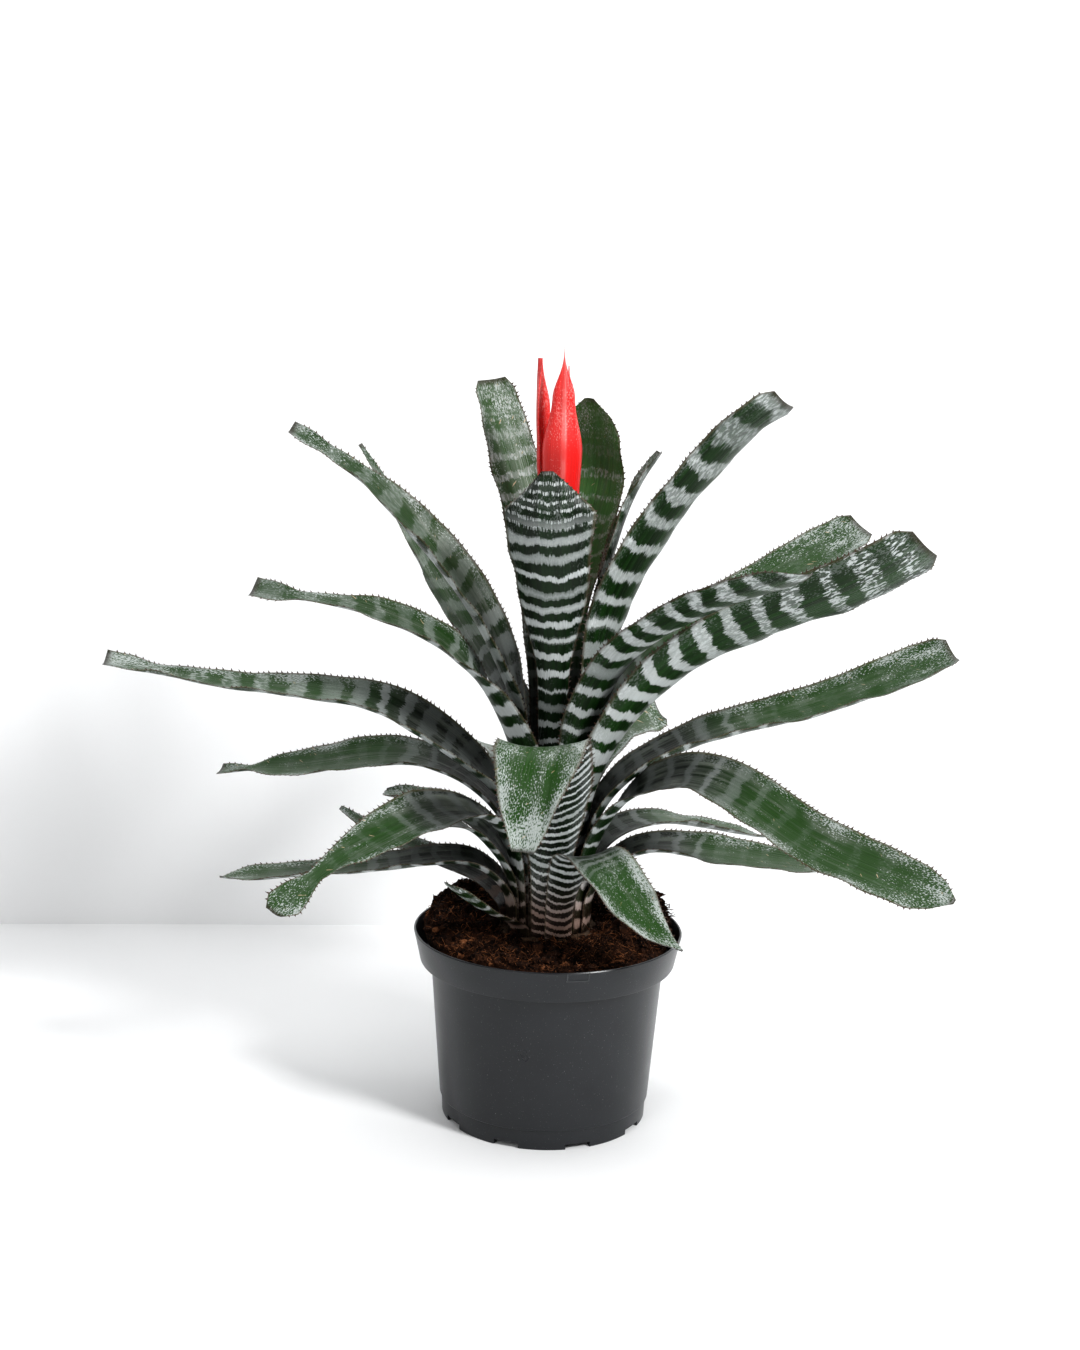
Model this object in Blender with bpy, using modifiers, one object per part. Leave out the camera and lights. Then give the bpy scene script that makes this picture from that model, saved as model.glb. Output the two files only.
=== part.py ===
"""Potted bromeliad: a rosette of banded strap leaves round a red bract spike, in a nursery pot.

Metres, +Z up. The origin is the centre of the pot's base, and -Y is the front.
Every leaf stands on the caudex (the short basal plate) in its own ring, so that the leaf
bases wrap round each other like scales, with a small gap between rings.
"""
import math

import bmesh
import bpy
from mathutils import Vector

MM = 0.001
GAP = 0.3 * MM                  # clearance between pieces that touch on the real plant

# Pot
POT_HEIGHT = 121.5 * MM
RIM_TOP_R = 85.0 * MM
RIM_LOW_R = 80.5 * MM
RIM_BAND = 20.0 * MM            # height of the turned-out rim band
WALL_TOP_R = 73.8 * MM
WALL_LOW_R = 66.9 * MM
FOOT_R = 65.8 * MM
FOOT_HEIGHT = 12.8 * MM
WALL = 1.6 * MM
HUB_R = 28.0 * MM               # flat disc at the middle of the underside
CHANNEL_Z = 4.0 * MM            # the drain channel stands this far off the ground
FLOOR = 1.8 * MM
DRAIN_HOLES = 8
DRAIN_R = 4.0 * MM
DRAIN_RING_R = 46.0 * MM
NOTCHES = 9                     # slots through the foot ring
NOTCH_SIZE = (16.0 * MM, 3.4 * MM)

# Soil and caudex
SOIL_EDGE_Z = 118.0 * MM
SOIL_CREST_Z = 128.0 * MM
SOIL_INNER_Z = 120.5 * MM       # height of the soil against the caudex
SOIL_CREST_R = 62.0 * MM        # the mound is highest at this distance from the axis
SOIL_FRONT_DIP = 8.0 * MM       # the crest is this much lower in front
SOIL_LUMP = 1.2 * MM
SOIL_LUMP_R = 9.0 * MM
CAUDEX_R = 32.0 * MM
CAUDEX_LOW_Z = 104.0 * MM
CAUDEX_TOP_Z = 123.0 * MM
CAUDEX_NECK_Z = 114.0 * MM      # below this it narrows
CAUDEX_LOW_R = 23.0 * MM

# Rosette
LEAF_THICK = 1.2 * MM
LEAF_BASE_Z = CAUDEX_TOP_Z + GAP
RING_FIRST_R = 8.0              # mm, radius of the innermost ring of leaf bases
RING_STEP = 2.0                 # mm between rings
SHEATH_SLOPE = 0.06             # how much the bundle of leaf bases opens with height
LEAF_SPREAD = 85.0              # mm of blade over which a sheath widens into the strap
LEAF_STATIONS = 13
LEAF_ACROSS = 5

# How a blade ends: marks of (share of the length, share of the full width)
ROUND_TIP = ((0.84, 1), (0.93, 0.83), (0.97, 0.58), (1, 0.12))
BLUNT_TIP = ((0.93, 1), (0.98, 0.88), (1, 0.6))

# Each leaf: its ring; compass angle at the base and at the tip (degrees, 0 = +X, 90 = back);
# the angle its sheath takes in the ring; the height where it leaves the bundle; its full
# width; the way of its middle from there on, as (distance from the axis, height); and the
# channel angle and the roll at even steps from base to tip. Millimetres and degrees.
LEAVES = {
    "leaf_front_centre": dict(
        ring=0, turn=(-94, -101), sheath=82, leave=285, width=60,
        path=((23, 312), (34, 350), (44, 388), (41, 414)),
        channel=(110, 80, 70, 70), roll=(0, 0, 0, 0),
        tip=((0.6, 0.8), (0.8, 0.84), (0.92, 1), (1, 0.12))),
    "leaf_back_right_upright": dict(
        ring=0, turn=(76, 58), sheath=105, leave=330, width=49,
        path=((30, 356), (42, 390), (46, 418), (30, 454)),
        channel=(110, 70, 60, 50), roll=(0, 0, 0, 0),
        tip=ROUND_TIP),
    "leaf_edge_on_right": dict(
        ring=1, turn=(-6, 3), sheath=66, leave=290, width=28,
        path=((28, 350), (35, 378), (46, 406), (60, 424)),
        channel=(110, 110, 110, 60), roll=(0, 0, 0, 0),
        tip=BLUNT_TIP),
    "leaf_back_left_upright": dict(
        ring=1, turn=(102, 130), sheath=90, leave=290, width=36,
        path=((29, 335), (39, 370), (51, 405), (71, 463)),
        channel=(110, 70, 60, 50), roll=(0, 0, 0, 0),
        tip=BLUNT_TIP),
    "leaf_upper_right": dict(
        ring=2, turn=(-2, -12), sheath=70, leave=245, width=46,
        path=((27, 299), (38, 340), (64, 385), (84, 411), (110, 443), (133, 458)),
        channel=(110, 100, 80, 50), roll=(0, -20, -30, -30),
        tip=BLUNT_TIP),
    "leaf_upper_left": dict(
        ring=2, turn=(183, 183), sheath=90, leave=245, width=50,
        path=((36, 308), (56, 342), (103, 395), (146, 424), (163, 433)),
        channel=(110, 110, 100, 50), roll=(0, -12, -22, -30),
        tip=((0.7, 1), (0.79, 0.7), (0.87, 0.38), (0.93, 0.22), (0.97, 0.3), (1, 0.3))),
    "leaf_right_folded": dict(
        ring=3, turn=(-42, -44), sheath=80, leave=236, width=42,
        path=((38, 286), (58, 312), (122, 349), (190, 370)),
        channel=(110, 100, 80, 60), roll=(0, 0, -10, -10),
        tip=ROUND_TIP),
    "leaf_upper_left_back": dict(
        ring=3, turn=(144, 157), sheath=84, leave=236, width=36,
        path=((36, 272), (61, 301), (86, 337), (121, 392), (139, 420)),
        channel=(110, 100, 80, 40), roll=(0, 0, 0, 0),
        tip=((0.72, 1), (0.9, 0.4), (1, 0.12))),
    "leaf_mid_left": dict(
        ring=4, turn=(214, 199), sheath=90, leave=230, width=40,
        path=((38, 266), (58, 301), (106, 330), (166, 340), (188, 343)),
        channel=(110, 100, 80, 40), roll=(0, -2, -26, -25),
        tip=((0.6, 1), (0.75, 0.75), (0.86, 0.38), (0.92, 0.25), (0.97, 0.6), (1, 0.7))),
    "leaf_right_back_mid": dict(
        ring=4, turn=(20, 18), sheath=80, leave=225, width=40,
        path=((34, 258), (50, 280), (94, 316), (162, 351), (204, 376)),
        channel=(110, 90, 60, 40), roll=(0, 10, 25, 30),
        tip=BLUNT_TIP),
    "leaf_right_checker": dict(
        ring=5, turn=(-20, -20), sheath=85, leave=207, width=50,
        path=((44, 264), (75, 298), (110, 321), (152, 340), (193, 360), (222, 381)),
        channel=(110, 100, 80, 40), roll=(0, -18, -34, -38),
        tip=BLUNT_TIP),
    "leaf_back_long": dict(
        ring=5, turn=(80, 92), sheath=80, leave=205, width=44,
        path=((45, 245), (90, 285), (150, 300), (200, 285)),
        channel=(110, 80, 60, 40), roll=(0, 0, 0, 0),
        tip=ROUND_TIP),
    "leaf_long_left": dict(
        ring=5, turn=(188, 188), sheath=85, leave=193, width=44,
        path=((46, 226), (87, 260), (116, 272), (165, 277), (203, 280), (244, 288), (273, 294)),
        channel=(110, 110, 90, 60), roll=(0, -20, -18, -8),
        tip=((0.45, 1), (0.6, 0.8), (0.8, 0.6), (0.92, 0.44), (0.96, 0.6), (1, 0.6))),
    "leaf_back_right_short": dict(
        ring=6, turn=(55, 55), sheath=80, leave=195, width=32,
        path=((42, 222), (66, 242), (98, 246), (124, 244)),
        channel=(110, 80, 60, 50), roll=(0, 0, 35, 50),
        tip=BLUNT_TIP),
    "leaf_low_left_upper": dict(
        ring=6, turn=(172, 172), sheath=80, leave=184, width=40,
        path=((52, 219), (98, 234), (157, 217), (216, 211)),
        channel=(110, 90, 60, 40), roll=(0, -12, -20, -5),
        tip=((0.7, 1), (0.85, 0.75), (0.93, 0.3), (0.97, 0.4), (1, 0.4))),
    "leaf_long_right": dict(
        ring=7, turn=(3, 3), sheath=80, leave=190, width=42,
        path=((45, 224), (94, 253), (153, 264), (215, 289), (248, 304)),
        channel=(110, 100, 90, 90), roll=(0, 5, 18, 20),
        tip=BLUNT_TIP),
    "leaf_back_left_mid": dict(
        ring=7, turn=(112, 102), sheath=80, leave=175, width=42,
        path=((50, 204), (92, 218), (145, 210), (180, 193)),
        channel=(110, 80, 60, 40), roll=(0, 0, 0, 0),
        tip=ROUND_TIP),
    "leaf_front_left": dict(
        ring=7, turn=(209, 223), sheath=46, leave=172, width=44,
        path=((42, 198), (62, 208), (90, 210), (115, 204), (143, 198), (178, 187), (209, 173)),
        channel=(110, 90, 60, 40), roll=(0, -10, -30, -30),
        tip=((0.5, 1), (0.65, 0.75), (0.78, 0.4), (0.86, 0.22), (0.92, 0.42), (0.97, 0.5), (1, 0.25))),
    "leaf_right_low_big": dict(
        ring=8, turn=(-25, -30), sheath=50, leave=175, width=38,
        path=((42, 202), (55, 219), (75, 231), (98, 238), (131, 229), (160, 212), (191, 202), (262, 187)),
        channel=(110, 80, 60, 30), roll=(0, 20, 38, 38),
        tip=ROUND_TIP),
    "leaf_right_low_back": dict(
        ring=8, turn=(34, 22), sheath=62, leave=162, width=34,
        path=((40, 177), (72, 187), (100, 183), (155, 169)),
        channel=(110, 80, 60, 40), roll=(0, 0, 0, 0),
        tip=ROUND_TIP),
    "leaf_back_left_low": dict(
        ring=8, turn=(152, 152), sheath=70, leave=156, width=32,
        path=((46, 178), (64, 188), (90, 194), (124, 193)),
        channel=(110, 80, 60, 40), roll=(0, 0, 0, 0),
        tip=ROUND_TIP),
    "leaf_front_fold": dict(
        ring=9, turn=(-88, -98), sheath=52, leave=168, width=54,
        path=((37, 200), (50, 230), (76, 262), (93, 261), (107, 244), (113, 203)),
        channel=(110, 60, 40, 60), roll=(0, 0, 0, 0),
        tip=((0.75, 1), (0.9, 0.6), (1, 0.25))),
    "leaf_right_low": dict(
        ring=9, turn=(-3, -3), sheath=68, leave=150, width=40,
        path=((47, 172), (69, 181), (119, 174), (178, 168)),
        channel=(110, 80, 60, 40), roll=(0, 0, 10, 0),
        tip=ROUND_TIP),
    "leaf_low_left_short": dict(
        ring=8, turn=(207, 205), sheath=30, leave=158, width=22,
        path=((38, 174), (50, 188), (62, 196), (80, 197)),
        channel=(90, 80, 60, 40), roll=(0, 0, 0, 0),
        tip=ROUND_TIP),
    "leaf_low_left": dict(
        ring=9, turn=(186, 186), sheath=75, leave=146, width=36,
        path=((42, 162), (60, 169), (107, 163), (206, 155)),
        channel=(110, 80, 60, 40), roll=(0, 0, 0, 0),
        tip=ROUND_TIP),
    "leaf_front_right_fold": dict(
        ring=10, turn=(-76, -50), sheath=36, leave=148, width=40,
        path=((42, 180), (61, 188), (76, 179), (107, 150), (123, 141)),
        channel=(110, 50, 40, 40), roll=(0, 0, 0, 0),
        tip=((0.6, 1), (0.75, 0.85), (0.88, 0.5), (1, 0.08))),
    "leaf_back_low": dict(
        ring=10, turn=(88, 78), sheath=70, leave=150, width=38,
        path=((50, 178), (90, 193), (140, 180), (165, 165)),
        channel=(110, 80, 60, 40), roll=(0, 0, 0, 0),
        tip=ROUND_TIP),
    "leaf_low_pup": dict(
        ring=10, turn=(226, 228), sheath=40, leave=130, width=20,
        path=((54, 142), (71, 155), (89, 169)),
        channel=(90, 80, 60, 40), roll=(0, 0, 0, 0),
        tip=ROUND_TIP),
    "leaf_low_left_back": dict(
        ring=11, turn=(158, 165), sheath=55, leave=134, width=30,
        path=((46, 149), (76, 157), (121, 172), (142, 186)),
        channel=(100, 80, 60, 40), roll=(0, 0, 0, 0),
        tip=((0.7, 1), (0.85, 0.6), (1, 0.3))),
}

# Flower spike
STALK_R = 5.0 * MM
STALK_TOP_Z = 400.0 * MM
# Each bract: compass angle, foot and tip heights (mm), distance from the axis and angle that
# it wraps (degrees) at even steps from foot to tip.
BRACTS = {
    "bract_front": dict(
        turn=-85, foot=330, top=486, bow=(7.4, 8.5, 12.0, 13.5, 9.0, 2.2),
        wrap=(130, 140, 150, 140, 110, 40)),
    "bract_rear_left": dict(
        turn=152, foot=330, top=478, bow=(7.4, 8.5, 12.0, 14.5, 15.5, 15.5),
        wrap=(85, 85, 95, 95, 60, 8)),
    "bract_rear_right": dict(
        turn=50, foot=330, top=474, bow=(7.4, 8.5, 11.0, 12.0, 9.0, 4.5),
        wrap=(85, 85, 85, 80, 60, 20)),
}
BRACT_THICK = 1.2 * MM
BRACT_STATIONS = 9
BRACT_ACROSS = 6


# ---------------------------------------------------------------- scene and materials

def clear_scene():
    for item in list(bpy.data.objects):
        bpy.data.objects.remove(item, do_unlink=True)


def make_collection(name):
    group = bpy.data.collections.new(name)
    bpy.context.scene.collection.children.link(group)
    return group


def make_material(name, color, roughness):
    material = bpy.data.materials.new(name)
    material.use_nodes = True
    shader = material.node_tree.nodes["Principled BSDF"]
    shader.inputs["Base Color"].default_value = (*color, 1.0)
    shader.inputs["Roughness"].default_value = roughness
    shader.inputs["Metallic"].default_value = 0.0
    return material


def add_object(name, mesh, group, material=None):
    item = bpy.data.objects.new(name, mesh)
    group.objects.link(item)
    if material:
        mesh.materials.append(material)
    return item


def add_cutter(target, cutter):
    cutter.hide_render = True
    cutter.display_type = "WIRE"
    boolean = target.modifiers.new(cutter.name, "BOOLEAN")
    boolean.operation = "DIFFERENCE"
    boolean.solver = "EXACT"
    boolean.object = cutter


# ---------------------------------------------------------------- turned pieces

def turned(name, profile, steps, group, material=None):
    """A profile of (radius, height) points, spun round Z by a Screw modifier."""
    mesh = bpy.data.meshes.new(name)
    points = [(radius, 0.0, height) for radius, height in profile]
    edges = [(i, i + 1) for i in range(len(points) - 1)]
    if profile[0][0] > 0.0:
        edges.append((len(points) - 1, 0))
    mesh.from_pydata(points, edges, [])
    item = add_object(name, mesh, group, material)
    screw = item.modifiers.new("Spin", "SCREW")
    screw.steps = steps
    screw.render_steps = steps
    screw.use_merge_vertices = True
    screw.merge_threshold = 0.00005
    screw.use_smooth_shade = True
    return item


def make_pot(group, cutters):
    under_band = POT_HEIGHT - RIM_BAND
    channel_out_r = FOOT_R - WALL - 3.0 * MM
    profile = [
        (0.0, FLOOR),
        (HUB_R - WALL, FLOOR),
        (HUB_R + 2.0 * MM, CHANNEL_Z + FLOOR),
        (FOOT_R - WALL, CHANNEL_Z + FLOOR),
        (WALL_LOW_R - WALL, FOOT_HEIGHT + FLOOR),
        (WALL_TOP_R - WALL, under_band + WALL),
        (RIM_LOW_R - WALL, under_band + WALL),
        (RIM_TOP_R - WALL, POT_HEIGHT),
        (RIM_TOP_R, POT_HEIGHT),
        (RIM_LOW_R, under_band),
        (WALL_TOP_R, under_band),
        (WALL_LOW_R, FOOT_HEIGHT),
        (FOOT_R, FOOT_HEIGHT),
        (FOOT_R - 0.4 * MM, 0.0),
        (channel_out_r, 0.0),
        (channel_out_r - 1.0 * MM, CHANNEL_Z),
        (HUB_R + 3.0 * MM, CHANNEL_Z),
        (HUB_R, 0.0),
        (0.0, 0.0),
    ]
    plastic = make_material("pot_plastic", (0.045, 0.048, 0.05), 0.45)
    pot = turned("pot", profile, 72, group, plastic)
    for index in range(DRAIN_HOLES):
        angle = 2.0 * math.pi * index / DRAIN_HOLES
        mesh = bpy.data.meshes.new(f"drain_cutter_{index + 1}")
        form = bmesh.new()
        bmesh.ops.create_cone(form, cap_ends=True, segments=16, radius1=DRAIN_R,
                              radius2=DRAIN_R, depth=8.0 * MM)
        form.to_mesh(mesh)
        form.free()
        cutter = add_object(mesh.name, mesh, cutters)
        cutter.location = (DRAIN_RING_R * math.cos(angle), DRAIN_RING_R * math.sin(angle),
                           CHANNEL_Z + FLOOR / 2.0)
        add_cutter(pot, cutter)
    for index in range(NOTCHES):
        angle = 2.0 * math.pi * (index + 0.25) / NOTCHES
        mesh = bpy.data.meshes.new(f"notch_cutter_{index + 1}")
        form = bmesh.new()
        bmesh.ops.create_cube(form, size=1.0)
        size = Vector((12.0 * MM, NOTCH_SIZE[0], 2.0 * NOTCH_SIZE[1]))
        bmesh.ops.scale(form, vec=size, verts=form.verts)
        form.to_mesh(mesh)
        form.free()
        cutter = add_object(mesh.name, mesh, cutters)
        cutter.location = (FOOT_R * math.cos(angle), FOOT_R * math.sin(angle), 0.0)
        cutter.rotation_euler = (0.0, 0.0, angle)
        add_cutter(pot, cutter)
    return pot


def soil_height(radius, angle):
    """Height of the mounded surface: lower in front, higher at the back and sides."""
    front = max(0.0, -math.sin(angle))
    crest = SOIL_CREST_Z - SOIL_FRONT_DIP * front ** 1.5
    lumps = SOIL_LUMP * math.sin(3.0 * angle + 0.6) * math.sin(radius / SOIL_LUMP_R)
    if radius < SOIL_CREST_R:
        inner = min(1.0, (radius - CAUDEX_R) / (20.0 * MM))
        return SOIL_INNER_Z + (crest - SOIL_INNER_Z) * inner + lumps * inner
    fall = (radius - SOIL_CREST_R) / (RIM_LOW_R - WALL - SOIL_CREST_R)
    return crest + (SOIL_EDGE_Z - crest) * fall ** 1.3 + lumps * (1.0 - fall)


def make_soil(group):
    """A turned body whose top rings are then raised and lowered into an uneven mound."""
    wall_top_z = POT_HEIGHT - RIM_BAND + WALL + GAP
    edge_r = RIM_LOW_R - WALL - GAP
    rings = [CAUDEX_R + GAP, 40.0 * MM, 51.0 * MM, SOIL_CREST_R, 71.0 * MM, edge_r]
    top_z = SOIL_CREST_Z
    profile = [(0.0, CAUDEX_LOW_Z - GAP), (CAUDEX_R + GAP, CAUDEX_LOW_Z - GAP)]
    profile += [(radius, top_z) for radius in rings]
    profile += [
        (edge_r, wall_top_z),
        (WALL_TOP_R - WALL - GAP, wall_top_z),
        (WALL_LOW_R - WALL - GAP, FOOT_HEIGHT + FLOOR),
        (FOOT_R - WALL - GAP, CHANNEL_Z + FLOOR + GAP),
        (HUB_R + 2.0 * MM, CHANNEL_Z + FLOOR + GAP),
        (HUB_R - WALL, FLOOR + GAP),
        (0.0, FLOOR + GAP),
    ]
    peat = make_material("soil_peat", (0.07, 0.035, 0.02), 0.95)
    draft = turned("soil_draft", profile, 36, group)
    depsgraph = bpy.context.evaluated_depsgraph_get()
    mesh = bpy.data.meshes.new_from_object(draft.evaluated_get(depsgraph))
    bpy.data.objects.remove(draft)
    mesh.name = "soil"
    for vertex in mesh.vertices:
        if vertex.co.z > top_z - 0.01 * MM:
            radius = math.hypot(vertex.co.x, vertex.co.y)
            vertex.co.z = soil_height(radius, math.atan2(vertex.co.y, vertex.co.x))
    return add_object("soil", mesh, group, peat)


def make_caudex(group):
    profile = [
        (0.0, CAUDEX_TOP_Z),
        (CAUDEX_R - 1.0 * MM, CAUDEX_TOP_Z),
        (CAUDEX_R, CAUDEX_TOP_Z - 1.0 * MM),
        (CAUDEX_R, CAUDEX_NECK_Z),
        (CAUDEX_LOW_R, CAUDEX_LOW_Z),
        (0.0, CAUDEX_LOW_Z),
    ]
    bark = make_material("caudex_bark", (0.12, 0.07, 0.035), 0.9)
    return turned("caudex", profile, 48, group, bark)


# ---------------------------------------------------------------- leaves

def smooth_point(points, share):
    """Point at a share (0 to 1) of a uniform cubic B-spline, which never overshoots."""
    spans = len(points) - 1
    place = min(share, 0.999999) * spans
    index = int(place)
    t = place - index
    p1 = points[index]
    p2 = points[index + 1]
    p0 = points[index - 1] if index > 0 else p1 * 2.0 - p2
    p3 = points[index + 2] if index + 2 <= spans else p2 * 2.0 - p1
    return (p0 * (1.0 - t) ** 3 + p1 * (3.0 * t ** 3 - 6.0 * t ** 2 + 4.0)
            + p2 * (3.0 * t + 3.0 * t ** 2 - 3.0 * t ** 3 + 1.0) + p3 * t ** 3) / 6.0


def even_points(points, count):
    """Points at equal distances along the smooth curve."""
    fine = [smooth_point(points, i / 240.0) for i in range(241)]
    run = [0.0]
    for before, after in zip(fine, fine[1:]):
        run.append(run[-1] + (after - before).length)
    result = []
    index = 0
    for step in range(count):
        goal = run[-1] * step / (count - 1)
        while index < len(fine) - 2 and run[index + 1] < goal:
            index += 1
        part = (goal - run[index]) / max(run[index + 1] - run[index], 1e-9)
        result.append(fine[index].lerp(fine[index + 1], min(1.0, part)))
    return result


def key_value(keys, share):
    """Value at a share (0 to 1) between evenly spaced keys, eased."""
    place = min(share, 0.999999) * (len(keys) - 1)
    index = int(place)
    t = place - index
    t = t * t * (3.0 - 2.0 * t)
    return keys[index] + (keys[index + 1] - keys[index]) * t


def leaf_taper(tip, share):
    """Share of the blade's full width at a share of its length."""
    before = (0.0, 1.0)
    for mark in tip:
        if share <= mark[0]:
            part = (share - before[0]) / (mark[0] - before[0])
            return before[1] + (mark[1] - before[1]) * part
        before = mark
    return before[1]


def ring_radius(ring, height):
    """Distance of a ring of sheaths from the axis: the bundle opens a little with height."""
    return RING_FIRST_R + RING_STEP * ring + SHEATH_SLOPE * (height - LEAF_BASE_Z / MM)


def leaf_path(spec):
    """World points of the leaf's middle: up the sheath's ring, then out along the blade."""
    base_z = LEAF_BASE_Z / MM
    steps = max(2, int((spec["leave"] - base_z) / 30.0))
    heights = [base_z + (spec["leave"] - base_z) * i / steps for i in range(steps + 1)]
    flat = [(ring_radius(spec["ring"], z), z) for z in heights] + list(spec["path"])
    start, end = spec["turn"]
    points = []
    for index, (out, up) in enumerate(flat):
        share = max(0.0, (index - steps) / (len(flat) - 1 - steps))
        angle = math.radians(start + (end - start) * share)
        points.append(Vector((out * math.cos(angle), out * math.sin(angle), up)))
    return points


def leaf_sheet(name, spec, stations, across):
    """Open sheet of the leaf: a channelled strap lofted along the midrib."""
    points = even_points(leaf_path(spec), stations + 1)
    step = (points[1] - points[0]).length
    hug = math.radians(spec["sheath"])
    rows = []
    since = 0.0
    for index, point in enumerate(points):
        share = index / stations
        before = points[max(0, index - 1)]
        after = points[min(stations, index + 1)]
        along = (after - before).normalized() if index else Vector((0.0, 0.0, 1.0))
        out = math.hypot(point.x, point.y)
        side = Vector((point.y, -point.x, 0.0)) / out
        side = (side - along * side.dot(along)).normalized()
        inner = side.cross(along)
        if since > 0.0:
            since += step
        elif point.z > spec["leave"]:
            since = point.z - spec["leave"]
        free = min(1.0, since / LEAF_SPREAD)
        free = free * free * (3.0 - 2.0 * free)
        width = (out * hug) * (1.0 - free) + spec["width"] * free
        width = min(width, spec["width"]) * leaf_taper(spec["tip"], share)
        channel = hug * (1.0 - free) + math.radians(key_value(spec["channel"], share)) * free
        roll = math.radians(key_value(spec["roll"], share)) * free
        side, inner = (side * math.cos(roll) - inner * math.sin(roll),
                       inner * math.cos(roll) + side * math.sin(roll))
        bow = width / channel
        drop = 0.5 * bow * (1.0 - math.cos(channel / 2.0)) * free
        row = []
        for column in range(across + 1):
            swing = (column / across - 0.5) * channel
            row.append((point + side * (bow * math.sin(swing))
                        + inner * (bow * (1.0 - math.cos(swing)) - drop)) * MM)
        rows.append(row)
    return sheet_mesh(name, rows)


def sheet_mesh(name, rows):
    """Mesh of a grid of points, one quad between each four neighbours."""
    wide = len(rows[0])
    vertices = [tuple(place) for row in rows for place in row]
    faces = []
    for r in range(len(rows) - 1):
        for c in range(wide - 1):
            a = r * wide + c
            faces.append((a, a + 1, a + 1 + wide, a + wide))
    mesh = bpy.data.meshes.new(name)
    mesh.from_pydata(vertices, [], faces)
    mesh.shade_smooth()
    return mesh


def thicken(item, thickness):
    solid = item.modifiers.new("Blade", "SOLIDIFY")
    solid.thickness = thickness
    solid.offset = 0.0
    solid.use_even_offset = True


def make_leaves(group):
    for name, spec in LEAVES.items():
        blade = make_material(name, (0.05, 0.11, 0.04), 0.4)
        mesh = leaf_sheet(name, spec, LEAF_STATIONS, LEAF_ACROSS)
        thicken(add_object(name, mesh, group, blade), LEAF_THICK)


# ---------------------------------------------------------------- flower spike

def make_stalk(group):
    base = CAUDEX_TOP_Z + GAP
    profile = [
        (0.0, STALK_TOP_Z),
        (STALK_R - 2.0 * MM, STALK_TOP_Z - 2.0 * MM),
        (STALK_R, STALK_TOP_Z - 30.0 * MM),
        (STALK_R, base),
        (0.0, base),
    ]
    green = make_material("flower_stalk", (0.25, 0.3, 0.1), 0.6)
    return turned("flower_stalk", profile, 16, group, green)


def bract_sheet(name, spec, stations, across):
    """Boat-shaped bract: an arc round the stalk that swells and then closes to a point."""
    turn = math.radians(spec["turn"])
    rows = []
    for index in range(stations + 1):
        share = index / stations
        height = spec["foot"] + (spec["top"] - spec["foot"]) * share
        bow = key_value(spec["bow"], share)
        wrap = math.radians(key_value(spec["wrap"], share))
        row = []
        for column in range(across + 1):
            angle = turn + (0.5 - column / across) * wrap
            row.append(Vector((bow * math.cos(angle), bow * math.sin(angle), height)) * MM)
        rows.append(row)
    return sheet_mesh(name, rows)


def make_bracts(group):
    for name, spec in BRACTS.items():
        red = make_material(name, (0.8, 0.03, 0.02), 0.45)
        mesh = bract_sheet(name, spec, BRACT_STATIONS, BRACT_ACROSS)
        thicken(add_object(name, mesh, group, red), BRACT_THICK)


def main():
    clear_scene()
    group = make_collection("potted_bromeliad")
    cutters = make_collection("cutters")
    make_pot(group, cutters)
    make_soil(group)
    make_caudex(group)
    make_leaves(group)
    make_stalk(group)
    make_bracts(group)


main()
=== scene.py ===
# %% [markdown]
# # A potted bromeliad, piece by piece
#
# This lesson builds the looks of a zebra-banded bromeliad in a nursery pot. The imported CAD
# model is the fixed frame: it says where each leaf, the soil and the pot are. Every piece
# below is a finer one that takes the place of a CAD node and keeps its position.

import math
import random

import bmesh
import bpy
from mathutils import Matrix, Vector, noise


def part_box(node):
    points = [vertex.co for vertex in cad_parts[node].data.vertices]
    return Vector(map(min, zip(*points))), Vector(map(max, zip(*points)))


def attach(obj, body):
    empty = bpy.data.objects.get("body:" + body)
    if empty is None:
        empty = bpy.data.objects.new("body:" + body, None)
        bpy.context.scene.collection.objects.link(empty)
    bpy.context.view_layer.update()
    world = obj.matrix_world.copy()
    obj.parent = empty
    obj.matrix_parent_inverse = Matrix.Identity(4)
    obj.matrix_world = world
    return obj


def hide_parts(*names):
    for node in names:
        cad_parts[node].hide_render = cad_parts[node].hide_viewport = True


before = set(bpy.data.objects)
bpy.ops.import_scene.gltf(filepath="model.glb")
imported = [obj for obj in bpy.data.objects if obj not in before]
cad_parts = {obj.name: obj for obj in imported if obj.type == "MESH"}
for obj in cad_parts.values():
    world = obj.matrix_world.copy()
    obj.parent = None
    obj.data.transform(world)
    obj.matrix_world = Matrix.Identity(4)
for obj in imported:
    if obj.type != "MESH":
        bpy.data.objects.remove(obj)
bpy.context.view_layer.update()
MM = 0.001
pot_low, pot_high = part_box("pot")
print("frame:", len(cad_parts), "nodes, pot height", round(pot_high.z / MM, 1), "mm")

# %% [markdown]
# ## Camera
# A product picture is taken from a little above the plant's middle, with a normal lens.
# A 50 mm lens at a bit over a metre shows the rim in mild perspective.
# The small roll keeps the pot's slight lean.

# %% Place the camera
CAMERA_PLACE = (0.0, -1.140, 0.506)
CAMERA_PAN, CAMERA_DOWN, CAMERA_ROLL = (math.radians(v) for v in (0.47, 10.99, 1.55))
LENS_MM = 50.0
SENSOR_MM = 36.0

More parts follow.
